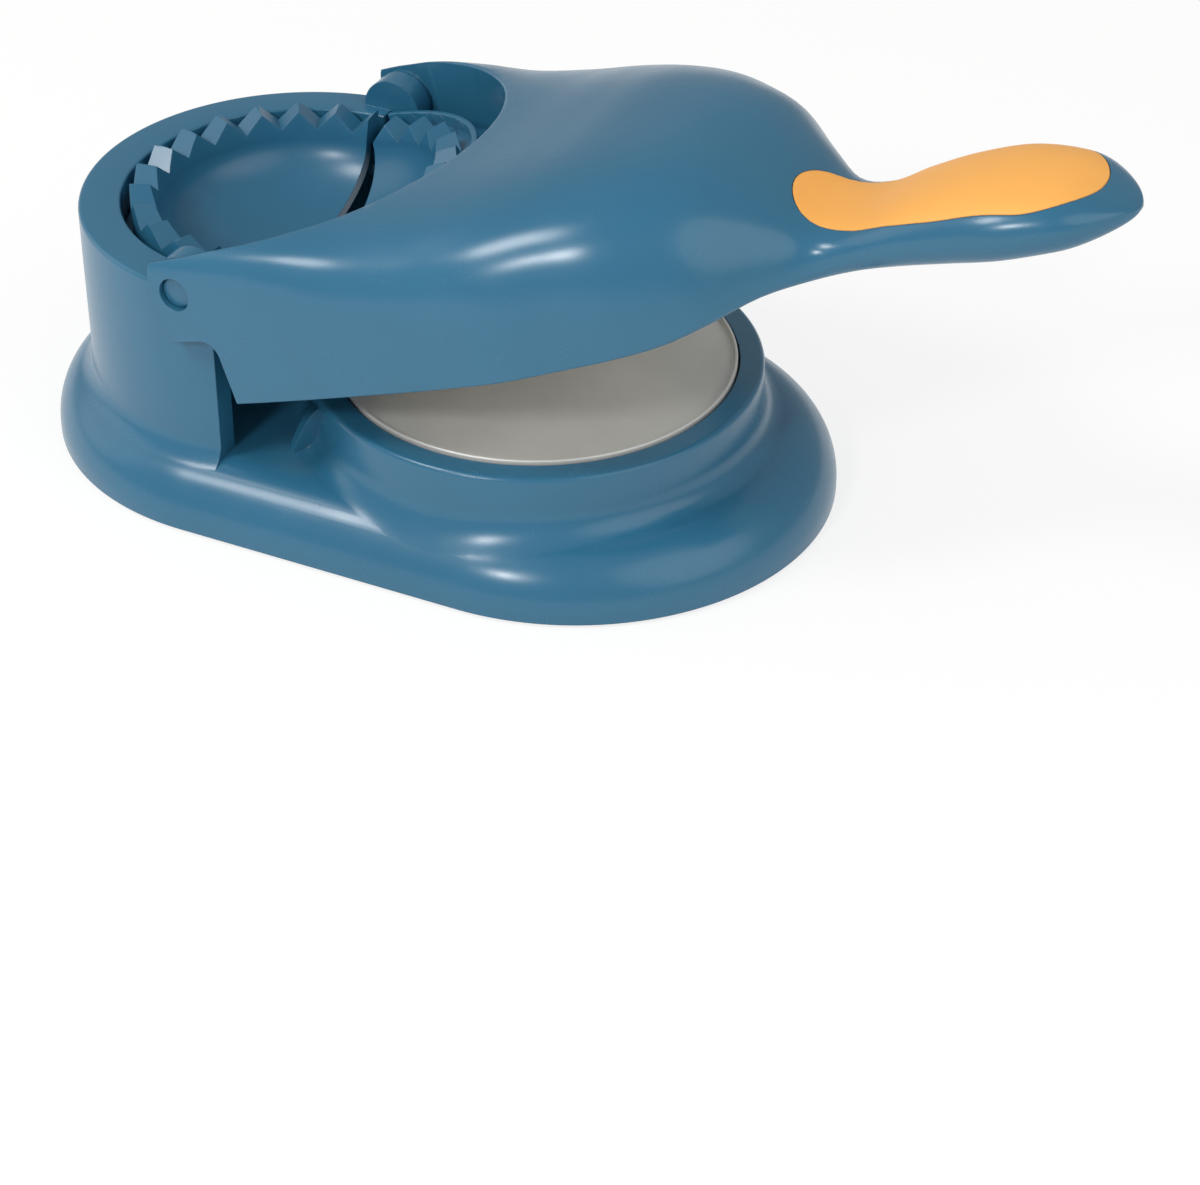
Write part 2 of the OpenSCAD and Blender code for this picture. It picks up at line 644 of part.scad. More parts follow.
// A flat panel that fits inside the lever's walls, between two heights
module panel(from, to, pitch, lows, thick) skin([for (a = stations(from, to, pitch))
    let(s = lever_at(a, wall + 2 * fit_gap, 0, 0), w = s[0] - s[4] / 4, z = lows(a))
        [[tower_x + a, w, z], [tower_x + a, w, z + thick],
            [tower_x + a, -w, z + thick], [tower_x + a, -w, z]]]);

module underside_cover() color(dark_blue) placed_lever() difference() {
    panel(reach - 20, panel_end, 6, function (a) panel_low, wall);
    translate([tower_x, 0, 0]) cylinder(h = 2 * tower_top, r = yoke_r + wall + fit_gap);
    for (p = panel_post_at) translate([tower_x + p[0], p[1], panel_low - eps])
        cylinder(h = wall + 2 * eps, r = 1.4, $fn = 32);
    for (p = press_screw_at) translate([p[0], p[1], panel_low - eps])
        cylinder(h = wall + 2 * eps, r = 1.4, $fn = 32);
}

module handle_cover() color(dark_blue) placed_lever() difference() {
    panel(panel_end + 1, handle_panel_to - fit_gap, 7, function (a) smooth(LEVER, a, 3) + 1,
        handle_panel);
    for (a = handle_post_at) translate([tower_x + a, 0, 0]) {
        cylinder(h = tower_top, r = 1.3, $fn = 32);
        cylinder(h = handle_inside(a) - 0.8, r = 2.4, $fn = 32);
    }
}

module cover_screws() color(steel) placed_lever() {
    for (p = panel_post_at) translate([tower_x + p[0], p[1], panel_low])
        screw(wall + 7, 1.2, 2.2, 1.3);
    for (a = handle_post_at) translate([tower_x + a, 0, handle_inside(a) - 0.8])
        screw(3.2, small_screw_r, 2.2, 1);
}

module press_disc() color(steel) placed_lever() rotate_extrude() polygon([
    [0, press_face], [press_r - 0.6, press_face], [press_r, press_face + 0.6],
    [press_r, press_face + 2], [press_r - sheet, press_face + 2],
    [press_r - sheet, press_face + sheet], [0, press_face + sheet]]);

module press_carrier() color("#D8D6D0") placed_lever() difference() {
    translate([0, 0, press_face + sheet])
        cylinder(h = press_top - press_face - sheet, r = press_r - sheet - 0.1);
    for (p = press_screw_at) translate([p[0], p[1], press_face + sheet + 0.6])
        cylinder(h = press_top, r = 1.2, $fn = 32);
}

module press_screws() color(steel) placed_lever() for (p = press_screw_at)
    translate([p[0], p[1], panel_top]) mirror([0, 0, 1]) screw(wall + 2.4, 1.2, 2.4, 1.4);

module handle_grip() color(orange) placed_lever() difference() {
    intersection() {
        translate([0, 0, grip_low]) linear_extrude(tower_top) grip_outline(0);
        lever_solid(grip_from - 8, tip_a, 24);
    }
    lever_solid(grip_from - 8, grip_to + 1, 24, drop = grip_t);
    for (a = grip_screw_at) translate([tower_x + a, 0, 0])
        cylinder(h = roof_at(a, 0) - 0.5, r = grip_screw_r, $fn = 32);
}

module grip_screws() color(steel) placed_lever() for (a = grip_screw_at)
    translate([tower_x + a, 0, roof_at(a, 0) - grip_t - wall - head_gap])
        screw(wall + head_gap + 1.5, grip_screw_r, 2, 1);

base_shell();
base_cover();
base_screws();
foot_rear_near();
foot_rear_far();
foot_front_near();
foot_front_far();
dough_plate();
plate_carrier();
plate_screws();
rear_mould();
rear_mould_screws();
pivot_pin_near();
pivot_pin_far();
pivot_washer_near();
pivot_washer_far();
lever_shell();
underside_cover();
handle_cover();
cover_screws();
front_mould();
front_mould_screws();
press_disc();
press_carrier();
press_screws();
handle_grip();
grip_screws();
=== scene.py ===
"""Two-in-one hand press for filled dough, finished over its packed construction model."""

import json
import math

import bmesh
import bpy
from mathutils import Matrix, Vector


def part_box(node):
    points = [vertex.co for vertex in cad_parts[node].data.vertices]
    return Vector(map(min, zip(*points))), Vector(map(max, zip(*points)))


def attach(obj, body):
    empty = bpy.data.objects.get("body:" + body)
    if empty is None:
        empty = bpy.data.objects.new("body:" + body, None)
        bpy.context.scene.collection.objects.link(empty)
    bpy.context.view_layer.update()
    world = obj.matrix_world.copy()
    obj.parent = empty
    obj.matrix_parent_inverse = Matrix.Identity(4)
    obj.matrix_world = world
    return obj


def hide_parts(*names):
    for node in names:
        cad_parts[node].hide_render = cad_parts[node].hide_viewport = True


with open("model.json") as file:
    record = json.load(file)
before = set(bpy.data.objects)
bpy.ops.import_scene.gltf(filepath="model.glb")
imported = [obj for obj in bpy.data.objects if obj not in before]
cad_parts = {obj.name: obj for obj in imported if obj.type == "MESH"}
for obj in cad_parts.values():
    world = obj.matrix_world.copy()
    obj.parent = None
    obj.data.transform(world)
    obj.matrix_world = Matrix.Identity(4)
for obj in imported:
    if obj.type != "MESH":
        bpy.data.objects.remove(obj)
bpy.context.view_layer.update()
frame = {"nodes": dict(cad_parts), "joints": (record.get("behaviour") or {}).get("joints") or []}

# ---- Sizes, in metres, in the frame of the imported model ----

MM = 0.001
TINY = 0.01 * MM
NEAR_FLUSH = 0.03 * MM
# Points nearer to each other than this are one point: finished, turned and skinned
SAME_POINT, SAME_TURNED, SAME_SKINNED = 0.0001 * MM, 0.002 * MM, 0.001 * MM
# Faces that meet at more than this keep a crisp edge
CRISP_EDGE = math.radians(38)

# The pivot and the raised lever
HINGE = frame["joints"][0]
TOWER_X, AXIS_Z = HINGE["pos_m"][0], HINGE["pos_m"][2]
LEVER_OPEN = math.radians(-HINGE["range_deg"][0])

# The dough table stands ahead of the tower
PLATE_LOW, PLATE_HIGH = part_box("dough_plate")
TABLE_X = (PLATE_LOW[0] + PLATE_HIGH[0]) / 2
PLATE_R = (PLATE_HIGH[0] - PLATE_LOW[0]) / 2
TABLE_R = 49.9 * MM
TABLE_TOP = 29.3 * MM
TABLE_EDGE = 1.2 * MM
RECESS_R = PLATE_R + 0.5 * MM
PLATE_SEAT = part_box("plate_carrier")[0][2]

# Base
BASE_LOW, BASE_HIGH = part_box("base_shell")
WALL = 2.4 * MM
FIT_GAP = 0.3 * MM
BASE_HALF_W = BASE_HIGH[1]
LIP_TOP = BASE_LOW[2] + 1.5 * MM
SHOULDER = 13 * MM
DECK = LIP_TOP + SHOULDER
FRONT_C = BASE_HIGH[0] - BASE_HALF_W
REAR_C = BASE_LOW[0] + BASE_HALF_W
WALL_LOW = BASE_LOW[2] + MM
# Width and height of the hollow foot round the table and the tower, and how far it sinks in
TABLE_FOOT = (5.0 * MM, 6.0 * MM)
TOWER_FOOT = (3.4 * MM, 4.2 * MM)
FOOT_SINK = 0.04 * MM
# The gussets beside the table: out from the wall and up from the deck, in millimetres
RIB_ANGLE = math.radians(223)
RIB_T = 3 * MM
RIB_OUTLINE = [(0, 0), (7.5, 0), (7.2, 1), (6.2, 3.2), (5.2, 5.4), (4.2, 7.4), (3.0, 9.2),
               (1.6, 10.6), (0, 11.2)]

# Rubber feet
FOOT_SEAT = 0.6 * MM
FOOT_EDGE = 0.6 * MM
FOOT_HOLLOW = 0.25 * MM
TREAD_IN, TREAD_OUT = 2.2 * MM, 1.9 * MM
KNOB_NECK_R, KNOB_R = 2.6 * MM, 3.4 * MM
KNOB_GAP = 0.05 * MM

# Tower
TOWER_R = 48.5 * MM
TOWER_TOP = AXIS_Z - 0.3 * MM
TOWER_EDGE = 1.0 * MM
WELL_EDGE = 0.6 * MM
WELL_R = 39.2 * MM
LEDGE = TOWER_TOP - 10 * MM
LEDGE_R = 33.5 * MM
WALL_END = 6.4 * MM
PILLAR_IN = TOWER_R - 6 * MM
PILLAR_BACK = 4 * MM
PILLAR_INSIDE = 0.05 * MM
EAR_R = 7 * MM
EAR_FACE = TOWER_R - 0.3 * MM
WASHER_ROOM = 0.5 * MM
PIN_R = 3.65 * MM
PIN_ROOT_R = 3.0 * MM
PIN_CHAMFER = 0.5 * MM
PIN_END_GAP = 0.2 * MM
PIN_GAP = 0.05 * MM
BOSS_FACE = EAR_FACE + 0.5 * MM
BOSS_R = EAR_R - 0.5 * MM
BOSS_SINK = 0.4 * MM

# Sheet steel
SHEET = 0.8 * MM
SHEET_BEND = 0.6 * MM
PLATE_LIP, PRESS_LIP = 1.2 * MM, 2.0 * MM
CARRIER_T = 3.7 * MM
PRESS_FACE = PLATE_SEAT + CARRIER_T + SHEET + 1.5 * MM
PRESS_R = PLATE_R - 1.8 * MM
PANEL_LOW = PRESS_FACE + SHEET + 3.2 * MM

# Crimping mould: heights are measured from the pivot axis
BOWL_R = 31 * MM
BOWL_DEEP = 15 * MM
BOWL_TOP = -2.5 * MM
BOWL_FLOOR = 19.5 * MM
MOULD_WALL = 2 * MM
MOULD_EDGE = 0.4 * MM
RIM_R = 37 * MM
RIM_STEP = 1.5 * MM
WELL_GAP = 0.2 * MM
COLLAR_R = 41.5 * MM
COLLAR_T = 1.5 * MM
COLLAR_TOP = -0.1 * MM
COLLAR_FLOOR = 0.4 * MM
TOOTH_H = 4 * MM
FRONT_TIP = 0.5 * MM
CRIMP_GAP = 1 * MM
TEETH = 12
TOOTH_PITCH = math.radians(15)
# How far a groove's cutter rises past the teeth, as a share of their height, and how far it
# starts inside the rim and runs past it
GROOVE_OVER = 0.25
GROOVE_IN, GROOVE_LONGER = 3 * MM, 6 * MM

# Yoke and cheeks of the lever
YOKE_R = TOWER_R + 1.5 * MM
FLOOR_LOW = LEDGE - 0.6 * MM
FLOOR_TOP = FLOOR_LOW + WALL
CHEEK_BACK = 5.7 * MM
CHEEK_RISE = 10.2 * MM
CHEEK_CORNER = 6.5 * MM
NOTCH_AHEAD = 6 * MM
NOTCH_BELOW = 11 * MM
NOTCH_CORNER = 4 * MM
SHELF_GAP, SHELF_SINK = 0.5 * MM, 0.3 * MM
PILLAR_GAP = 0.8 * MM
# The rounded upper edge of the yoke: its size in millimetres, and where it starts and dies out
COVE = 0.75
COVE_ANGLE, COVE_RUNOUT = 80, 12

# The lever drawn down, in millimetres: distance from the pivot, half the width, top and
# lower edge above the floor, squareness of the section and rounding of the underside
LEVER = [
    (-8, 51.2, 66.5, 30.0, 14, 0.6), (2, 52.0, 66.5, 30.0, 12.5, 0.6),
    (12, 52.4, 66.2, 30.0, 10.8, 0.6), (24.3, 52.5, 65.3, 30.0, 8, 0.6),
    (38.6, 52.3, 63.9, 30.0, 5.6, 0.6), (54.3, 51.9, 63.4, 30.0, 4.7, 0.6),
    (71.5, 50.5, 63.9, 30.0, 4.2, 0.6), (84, 47.0, 64.2, 30.0, 3.9, 0.6),
    (95, 43.4, 63.1, 30.0, 3.7, 0.6), (104, 38.9, 61.1, 30.1, 3.4, 0.75),
    (112, 33.6, 57.0, 31.2, 3.3, 1.1), (120, 24.6, 49.9, 32.0, 3.1, 1.6),
    (128, 17.3, 42.5, 31.1, 2.9, 2.4), (137, 15.7, 40.8, 31.4, 2.7, 3.4),
    (147, 17.0, 43.2, 32.0, 2.6, 4.2), (158, 18.1, 45.3, 32.1, 2.5, 4.5),
    (170, 18.6, 45.6, 31.8, 2.5, 5), (183, 15.4, 42.7, 31.5, 2.5, 5),
    (194.6, 10.5, 36.8, 30.7, 2.4, 5)]
LEVER_FROM = LEVER[0][0]
# Where the tip ends, the length over which it closes, and the share of the section left there
TIP_A = 193.9
NOSE = 13.8
TIP_SHARE = 0.02
# The hollow of the body starts ahead of the cheeks' ends and runs past its panel, and the
# handle's starts before its panel and runs past it
HOLLOW_FROM = -4
BODY_PAST, HANDLE_BEFORE, HANDLE_PAST = 1.5, 0.5, 0.3

# Half the grip's outline seen from above, in millimetres: distance from the pivot, half width
GRIP = [
    (122.4, 0), (122.8, 3.2), (124, 6.4), (126, 8.8), (129, 10.1), (133, 10.8), (137, 11.5),
    (141, 12.4), (145, 13.5), (149, 14.4), (153, 15.1), (157, 15.6), (162, 15.9), (167, 16.0),
    (172, 15.8), (176, 15.2), (179.5, 13.8), (182.2, 12.0), (184.6, 9.4), (186.4, 6.4),
    (187.5, 3.2), (187.8, 0)]
# Where the surfaces that bound it begin and end
GRIP_FROM, GRIP_TO = GRIP[0][0] - 8, GRIP[-1][0] + 1
GRIP_T = 2.2
GRIP_LOW = 33 * MM
GRIP_POCKET_GAP = 0.15

# Panels that close the lever from below: reach from the pivot, in millimetres
BODY_PANEL = (39, 115)
HANDLE_PANEL = (116, 181.5)
HANDLE_RECESS = 0.4
# Their screws: rings round the table's axis with angles in degrees, and in the handle the
# distance from the pivot and the height of the head, in millimetres
POST_RING, POST_ANGLES = PRESS_R + 1.8 * MM, (-76, -22, 22, 76)
PRESS_SCREW_RING, PRESS_SCREW_ANGLES = 30 * MM, (-60, 0, 60)
HANDLE_SCREWS = ((136.0, 33.1), (177.3, 34.4))
PANEL_HOLE_R, HANDLE_HOLE_R = 1.4 * MM, 1.2 * MM
SCREW_BOSS_R, SCREW_HEAD_R = 4 * MM, 2.5 * MM


def srgb(text):
    """A hex colour as linear red, green, blue and alpha."""
    parts = [int(text[i:i + 2], 16) / 255 for i in (1, 3, 5)]
    return [c / 12.92 if c <= 0.04045 else ((c + 0.055) / 1.055) ** 2.4 for c in parts] + [1]


# ---- Bench tools ----

def clear_bench():
    """Object mode with nothing selected."""
    if bpy.context.object and bpy.context.object.mode != "OBJECT":
        bpy.ops.object.mode_set(mode="OBJECT")
    bpy.ops.object.select_all(action="DESELECT")


def take(piece):
    """Makes a piece the only selected one."""
    clear_bench()
    piece.select_set(True)
    bpy.context.view_layer.objects.active = piece


def drawn_line(name, points):
    """A line drawn by extruding one point from place to place, left in edit mode."""
    clear_bench()
    bpy.ops.mesh.primitive_plane_add(size=MM)
    piece = bpy.context.object
    piece.name = name
    bpy.ops.object.mode_set(mode="EDIT")
    bpy.ops.mesh.merge(type="CENTER")
    bpy.ops.transform.translate(value=points[0])
    for start, end in zip(points, points[1:]):
        bpy.ops.mesh.extrude_region_move(
            TRANSFORM_OT_translate={"value": [e - s for s, e in zip(start, end)]})
    bpy.ops.mesh.select_all(action="SELECT")
    return piece


def choose_points(piece, test):
    """Selects the points of a mesh, in edit mode, that pass a test on their place."""
    mesh = bmesh.from_edit_mesh(piece.data)
    for point in mesh.verts:
        point.select_set(bool(test(point.co)))
    mesh.select_flush_mode()
    bmesh.update_edit_mesh(piece.data)


def lathe(name, outline, x=0.0, steps=200, hollow=True):
    """A solid turned about the upright axis at x, from an outline of (radius, height).
    An outline that starts off the axis makes a ring, or with hollow=False a capped solid."""
    ring = outline[0][0] > 0 and hollow
    points = [(x + r, 0, z) for r, z in outline + (outline[:1] if ring else [])]
    piece = drawn_line(name, points)
    bpy.ops.mesh.spin(steps=steps, angle=math.tau, center=(x, 0, 0), axis=(0, 0, 1))
    bpy.ops.mesh.select_all(action="SELECT")
    bpy.ops.mesh.remove_doubles(threshold=SAME_TURNED)
    bpy.ops.mesh.fill_holes(sides=0)
    bpy.ops.mesh.select_all(action="SELECT")
    bpy.ops.mesh.normals_make_consistent(inside=False)
    bpy.ops.object.mode_set(mode="OBJECT")
    return piece


def place(piece, turn=(0, 0, 0), move=(0, 0, 0), about=None):
    """Turns a piece about the origin, or about a point, moves it, and fixes it there."""
    take(piece)
    piece.rotation_euler = turn
    piece.location = move
    if about:
        centre = Vector(about)
        piece.location = centre - piece.rotation_euler.to_matrix() @ centre
    bpy.ops.object.transform_apply(location=True, rotation=True, scale=True)


def swing_up(piece):
    """From the drawn-down lever to the raised one."""
    place(piece, turn=(0, -LEVER_OPEN, 0), about=(TOWER_X, 0, AXIS_Z))


def flip_side(piece):
    """The other hand of a piece, across the middle of the press."""
    take(piece)
    piece.scale = (1, -1, 1)
    bpy.ops.object.transform_apply(location=True, rotation=True, scale=True)
    bpy.ops.object.mode_set(mode="EDIT")
    bpy.ops.mesh.select_all(action="SELECT")
    bpy.ops.mesh.normals_make_consistent(inside=False)
    bpy.ops.object.mode_set(mode="OBJECT")


def copy_of(piece, name):
    """A copy with its own mesh."""
    take(piece)
    bpy.ops.object.duplicate(linked=False)
    bpy.context.object.name = name
    return bpy.context.object


def prism(name, points, along):
    """A flat outline of points, extruded."""
    piece = drawn_line(name, points)
    bpy.ops.mesh.edge_face_add()
    bpy.ops.mesh.extrude_region_move(TRANSFORM_OT_translate={"value": along})
    bpy.ops.mesh.select_all(action="SELECT")
    bpy.ops.mesh.normals_make_consistent(inside=False)
    bpy.ops.object.mode_set(mode="OBJECT")
    return piece


def rod(name, middle, axis, radius, length, sides=96):
    """A plain round bar along an axis."""
    clear_bench()
    turn = Vector(axis).to_track_quat("Z", "Y").to_euler()
    bpy.ops.mesh.primitive_cylinder_add(vertices=sides, radius=radius, depth=length,
                                        location=middle, rotation=turn)
    piece = bpy.context.object
    piece.name = name
    bpy.ops.object.transform_apply(location=True, rotation=True, scale=True)
    return piece


def upright(name, x, y, low, high, radius, sides=96):
    """A round bar standing on its end."""
    return rod(name, (x, y, (low + high) / 2), (0, 0, 1), radius, high - low, sides)


def across(name, start, end, radius):
    """A round bar on the pivot axis."""
    return rod(name, (TOWER_X, (start + end) / 2, AXIS_Z), (0, 1, 0), radius, abs(end - start))


def block(name, low, high):
    """A plain block between two corners."""
    clear_bench()
    middle = [(a + b) / 2 for a, b in zip(low, high)]
    size = [b - a for a, b in zip(low, high)]
    bpy.ops.mesh.primitive_cube_add(size=1, location=middle, scale=size)
    piece = bpy.context.object
    piece.name = name
    bpy.ops.object.transform_apply(location=True, rotation=True, scale=True)
    return piece


def combine(piece, other, operation):
    """Joins another solid to a piece, or cuts it away, and uses the other up."""
    take(piece)
    step = piece.modifiers.new("step", "BOOLEAN")
    step.operation = operation
    step.solver = "MANIFOLD"
    step.object = other
    bpy.ops.object.modifier_apply(modifier=step.name)
    bpy.data.objects.remove(other)


def add_to(piece, *others):
    """Joins other solids to a piece, one after the other."""
    for other in others:
        combine(piece, other, "UNION")


def cut_from(piece, *others):
    """Cuts other solids away from a piece, one after the other."""
    for other in others:
        combine(piece, other, "DIFFERENCE")


def paint(piece, material):
    """Gives a piece its one material."""
    piece.data.materials.clear()
    piece.data.materials.append(material)


def finish_piece(piece, material, slot, body, *nodes):
    """Smooth shading with crisp edges, a material, and the place in the whole."""
    take(piece)
    bpy.ops.object.mode_set(mode="EDIT")
    bpy.ops.mesh.select_all(action="SELECT")
    bpy.ops.mesh.remove_doubles(threshold=SAME_POINT)
    bpy.ops.object.mode_set(mode="OBJECT")
    bpy.ops.object.shade_smooth_by_angle(angle=CRISP_EDGE)
    paint(piece, material)
    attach(piece, body)
    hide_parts(*nodes)


# ---- Materials ----

def add(tree, kind, links=None, **settings):
    """Adds a node; links maps an input's name or number to an output socket or a value."""
    node = tree.nodes.new(kind)
    for key, value in settings.items():
        setattr(node, key, value)
    for key, value in (links or {}).items():
        if isinstance(value, bpy.types.NodeSocket):
            tree.links.new(value, node.inputs[key])
        else:
            node.inputs[key].default_value = value
    return node


def new_material(name):
    """A material with its node tree and its shader."""
    material = bpy.data.materials.new(name)
    material.use_nodes = True
    tree = material.node_tree
    return material, tree, tree.nodes["Principled BSDF"]


def noise(tree, spot, grain_mm, detail):
    """Noise in the piece's own space, its grain a size in millimetres."""
    return add(tree, "ShaderNodeTexNoise", {"Vector": spot, "Scale": 1 / (grain_mm * MM),
                                            "Detail": detail}).outputs["Fac"]


def spread(tree, value, low, high):
    """The middle of a noise's range, spread from low to high."""
    return add(tree, "ShaderNodeMapRange", {"Value": value, "From Min": 0.3, "From Max": 0.7,
                                            "To Min": low, "To Max": high}).outputs["Result"]


def surface(name, colour, tints, colour_noise, gloss_noise, roughness, bump):
    """A material from a colour, the spread of its shade, of its gloss, and a bump. The
    noises are given by grain in millimetres and detail; bump makes a node from a tree."""
    material, tree, shader = new_material(name)
    spot = add(tree, "ShaderNodeTexCoord").outputs["Object"]
    shade = spread(tree, noise(tree, spot, *colour_noise), *tints)
    gloss = spread(tree, noise(tree, spot, *gloss_noise), *roughness)
    tinted = add(tree, "ShaderNodeVectorMath", {0: srgb(colour)[:3], "Scale": shade},
                 operation="SCALE")
    tree.links.new(tinted.outputs["Vector"], shader.inputs["Base Color"])
    tree.links.new(gloss, shader.inputs["Roughness"])
    tree.links.new(bump(tree, spot).outputs["Normal"], shader.inputs["Normal"])
    return material, shader


def moulded(name, colour, roughness, edge_mm=0.35):
    """A moulding from a polished tool: even colour with a faint flow mottle, a satin gloss,
    small moulded radii on its edges and a very fine skin."""
    def bump(tree, spot):
        edges = add(tree, "ShaderNodeBevel", {"Radius": edge_mm * MM}, samples=4)
        return add(tree, "ShaderNodeBump", {"Height": noise(tree, spot, 0.5, 2.0),
                                            "Distance": 0.003 * MM,
                                            "Normal": edges.outputs["Normal"]})

    material, shader = surface(name, colour, (0.96, 1.04), (38, 3.0), (9, 4.0),
                               (roughness - 0.02, roughness + 0.03), bump)
    shader.inputs["IOR"].default_value = 1.53
    return material


def satin_steel(name, colour, roughness, metallic):
    """Sheet or wire steel with a satin finish: a very fine grain and soft clouding."""
    def bump(tree, spot):
        return add(tree, "ShaderNodeBump", {"Height": noise(tree, spot, 0.4, 2.0),
                                            "Distance": 0.004 * MM})

    material, shader = surface(name, colour, (0.94, 1.05), (22, 3.0), (22, 3.0),
                               (roughness - 0.03, roughness + 0.04), bump)
    shader.inputs["Metallic"].default_value = metallic
    return material


# Injection-moulded ABS: satin outside, a little duller in the mould, dull where hidden
BLUE_ABS = moulded("satin_blue_abs", "#2D6A89", 0.25)
MOULD_ABS = moulded("blue_abs_of_the_moulds", "#2B6887", 0.3, 0.2)
COVER_ABS = moulded("dull_blue_abs_of_the_covers", "#2C5A78", 0.5)
# Injection-moulded polypropylene and nylon, uncoloured
WHITE_PP = moulded("off_white_polypropylene", "#D8D6D0", 0.45)
WHITE_NYLON = moulded("natural_nylon_washer", "#E4E0D4", 0.4, 0.1)
# Soft thermoplastic elastomer of the grip, and compression-moulded rubber of the feet
SOFT_GRIP = moulded("orange_soft_touch_tpe", "#FDB558", 0.5, 0.4)
BLACK_RUBBER = moulded("dark_grey_rubber", "#3A3A3C", 0.7)
# Stainless sheet, deep-drawn and brushed dull, and the zinc-plated steel of the screws
SATIN_STEEL = satin_steel("satin_stainless_sheet", "#E2E0DA", 0.42, 0.3)
ZINC_STEEL = satin_steel("zinc_plated_screw_steel", "#B9BBBC", 0.3, 1.0)

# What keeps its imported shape
KEPT_NODES = (
    (COVER_ABS, ("base_cover",)),
    (WHITE_PP, ("plate_carrier", "press_carrier")),
    (WHITE_NYLON, ("pivot_washer_near", "pivot_washer_far")),
    (ZINC_STEEL, ("base_screws", "plate_screws", "rear_mould_screws", "front_mould_screws",
                  "cover_screws", "press_screws", "grip_screws")))
for material, names in KEPT_NODES:
    for name in names:
        paint(frame["nodes"][name], material)


# ---- Base shell ----

def arc(centre_r, centre_z, width, height, start, end, steps=14):
    """Points of a round or oval corner, from one angle to another in degrees."""
    angles = [math.radians(start + (end - start) * k / steps) for k in range(steps + 1)]
    return [(centre_r + width * math.cos(t), centre_z + height * math.sin(t)) for t in angles]


def quarter_turn(steps, first=0):
    """Angles from nought to a right angle, in equal steps."""
    return [math.pi / 2 * k / steps for k in range(first, steps + 1)]


def skirt(name, inset, low):
    """The low round body of the base, or the hollow inside it: a turned solid drawn apart
    lengthwise, so that its halves become the round ends."""
    reach = SHOULDER - inset
    outline = [(SHOULDER, low), (BASE_HALF_W - inset, low)] \
        + arc(BASE_HALF_W - SHOULDER, LIP_TOP, reach, reach, 0, 90, 24) \
        + [(SHOULDER, DECK - inset)]
    piece = lathe(name, outline, steps=202, hollow=False)
    bpy.ops.object.mode_set(mode="EDIT")
    for side, centre in ((1, FRONT_C), (-1, REAR_C)):
        choose_points(piece, lambda spot: spot.x * side > 0)
        bpy.ops.transform.translate(value=(centre, 0, 0))
        bpy.ops.mesh.select_all(action="DESELECT")
    bpy.ops.object.mode_set(mode="OBJECT")
    return piece


def skirt_height(x, y):
    """Height of the base's upper face over a point of its plan."""
    along = min(max(x, REAR_C), FRONT_C)
    outside = max(0, math.hypot(x - along, y) - (BASE_HALF_W - SHOULDER))
    return LIP_TOP + math.sqrt(max(0, SHOULDER ** 2 - outside ** 2))


def footed_wall(name, x, radius, foot, inner_start, wall_outline):
    """A turned wall whose hollow foot runs smoothly into the skirt, which falls away round it."""
    width, height = foot
    hollow = [(radius + width * (1 - math.sin(t)), DECK + height * (1 - math.cos(t)))
              for t in quarter_turn(16)]
    outline = inner_start + [(radius + width, WALL_LOW)] + hollow + wall_outline
    piece = lathe(name, outline, x, 216)
    for vert in piece.data.vertices:
        outside = math.hypot(vert.co.x - x, vert.co.y) > radius - TINY
        if outside and WALL_LOW + 10 * TINY < vert.co.z < DECK + height + TINY:
            vert.co.z += skirt_height(vert.co.x, vert.co.y) - DECK - FOOT_SINK
    return piece


def pedestal():
    """The round dough table, still solid."""
    edge = TABLE_EDGE
    rim = arc(TABLE_R - edge, TABLE_TOP - edge, edge, edge, 0, 90, 10)
    return footed_wall("pedestal", TABLE_X, TABLE_R, TABLE_FOOT, [(0, WALL_LOW)],
                       rim + [(0, TABLE_TOP)])


def tower():
    """The C of the tower: an outer wall, and a well with a ledge for the rear mould."""
    edge, small = TOWER_EDGE, WELL_EDGE
    well_out = WELL_R + WALL
    wall_in, roof_low = TOWER_R - WALL, TOWER_TOP - WALL
    outline = arc(TOWER_R - edge, TOWER_TOP - edge, edge, edge, 0, 90, 8) \
        + arc(WELL_R + small, TOWER_TOP - small, small, small, 90, 180, 6) \
        + [(WELL_R, LEDGE), (LEDGE_R, LEDGE), (LEDGE_R, LEDGE - WALL), (well_out, LEDGE - WALL),
           (well_out, roof_low), (wall_in, roof_low)]
    piece = footed_wall("tower", TOWER_X, TOWER_R, TOWER_FOOT, [(wall_in, DECK - MM)], outline)
    far = 2 * TOWER_R
    cut_from(piece, block("front", (TOWER_X + WALL_END, -far, 0), (TOWER_X + far, far, far)),
             block("middle", (TOWER_X - FIT_GAP, -PILLAR_IN, 0), (TOWER_X + far, PILLAR_IN, far)))
    return piece


def pillar(side):
    """The thick end of the tower's wall, with the ear that holds a pivot pin."""
    piece = block("pillar", (TOWER_X - PILLAR_BACK, PILLAR_IN + NEAR_FLUSH, DECK - MM),
                  (TOWER_X + WALL_END - NEAR_FLUSH, TOWER_R, TOWER_TOP - NEAR_FLUSH))
    bound = rod("round", (TOWER_X, 0, TOWER_TOP / 2), (0, 0, 1), TOWER_R - PILLAR_INSIDE,
                2 * TOWER_TOP, 200)
    combine(piece, bound, "INTERSECT")
    add_to(piece, across("ear", PILLAR_IN, EAR_FACE, EAR_R))
    if side < 0:
        flip_side(piece)
    return piece


def flank_rib(side):
    """A gusset between the pedestal and the deck."""
    root, foot = TABLE_R - MM, DECK - MM
    outline = [(root + out * MM, 0, foot + up * MM) for out, up in RIB_OUTLINE]
    piece = prism("rib", outline, (0, RIB_T, 0))
    place(piece, move=(0, -RIB_T / 2, 0))
    place(piece, turn=(0, 0, side * RIB_ANGLE), move=(TABLE_X, 0, 0))
    return piece


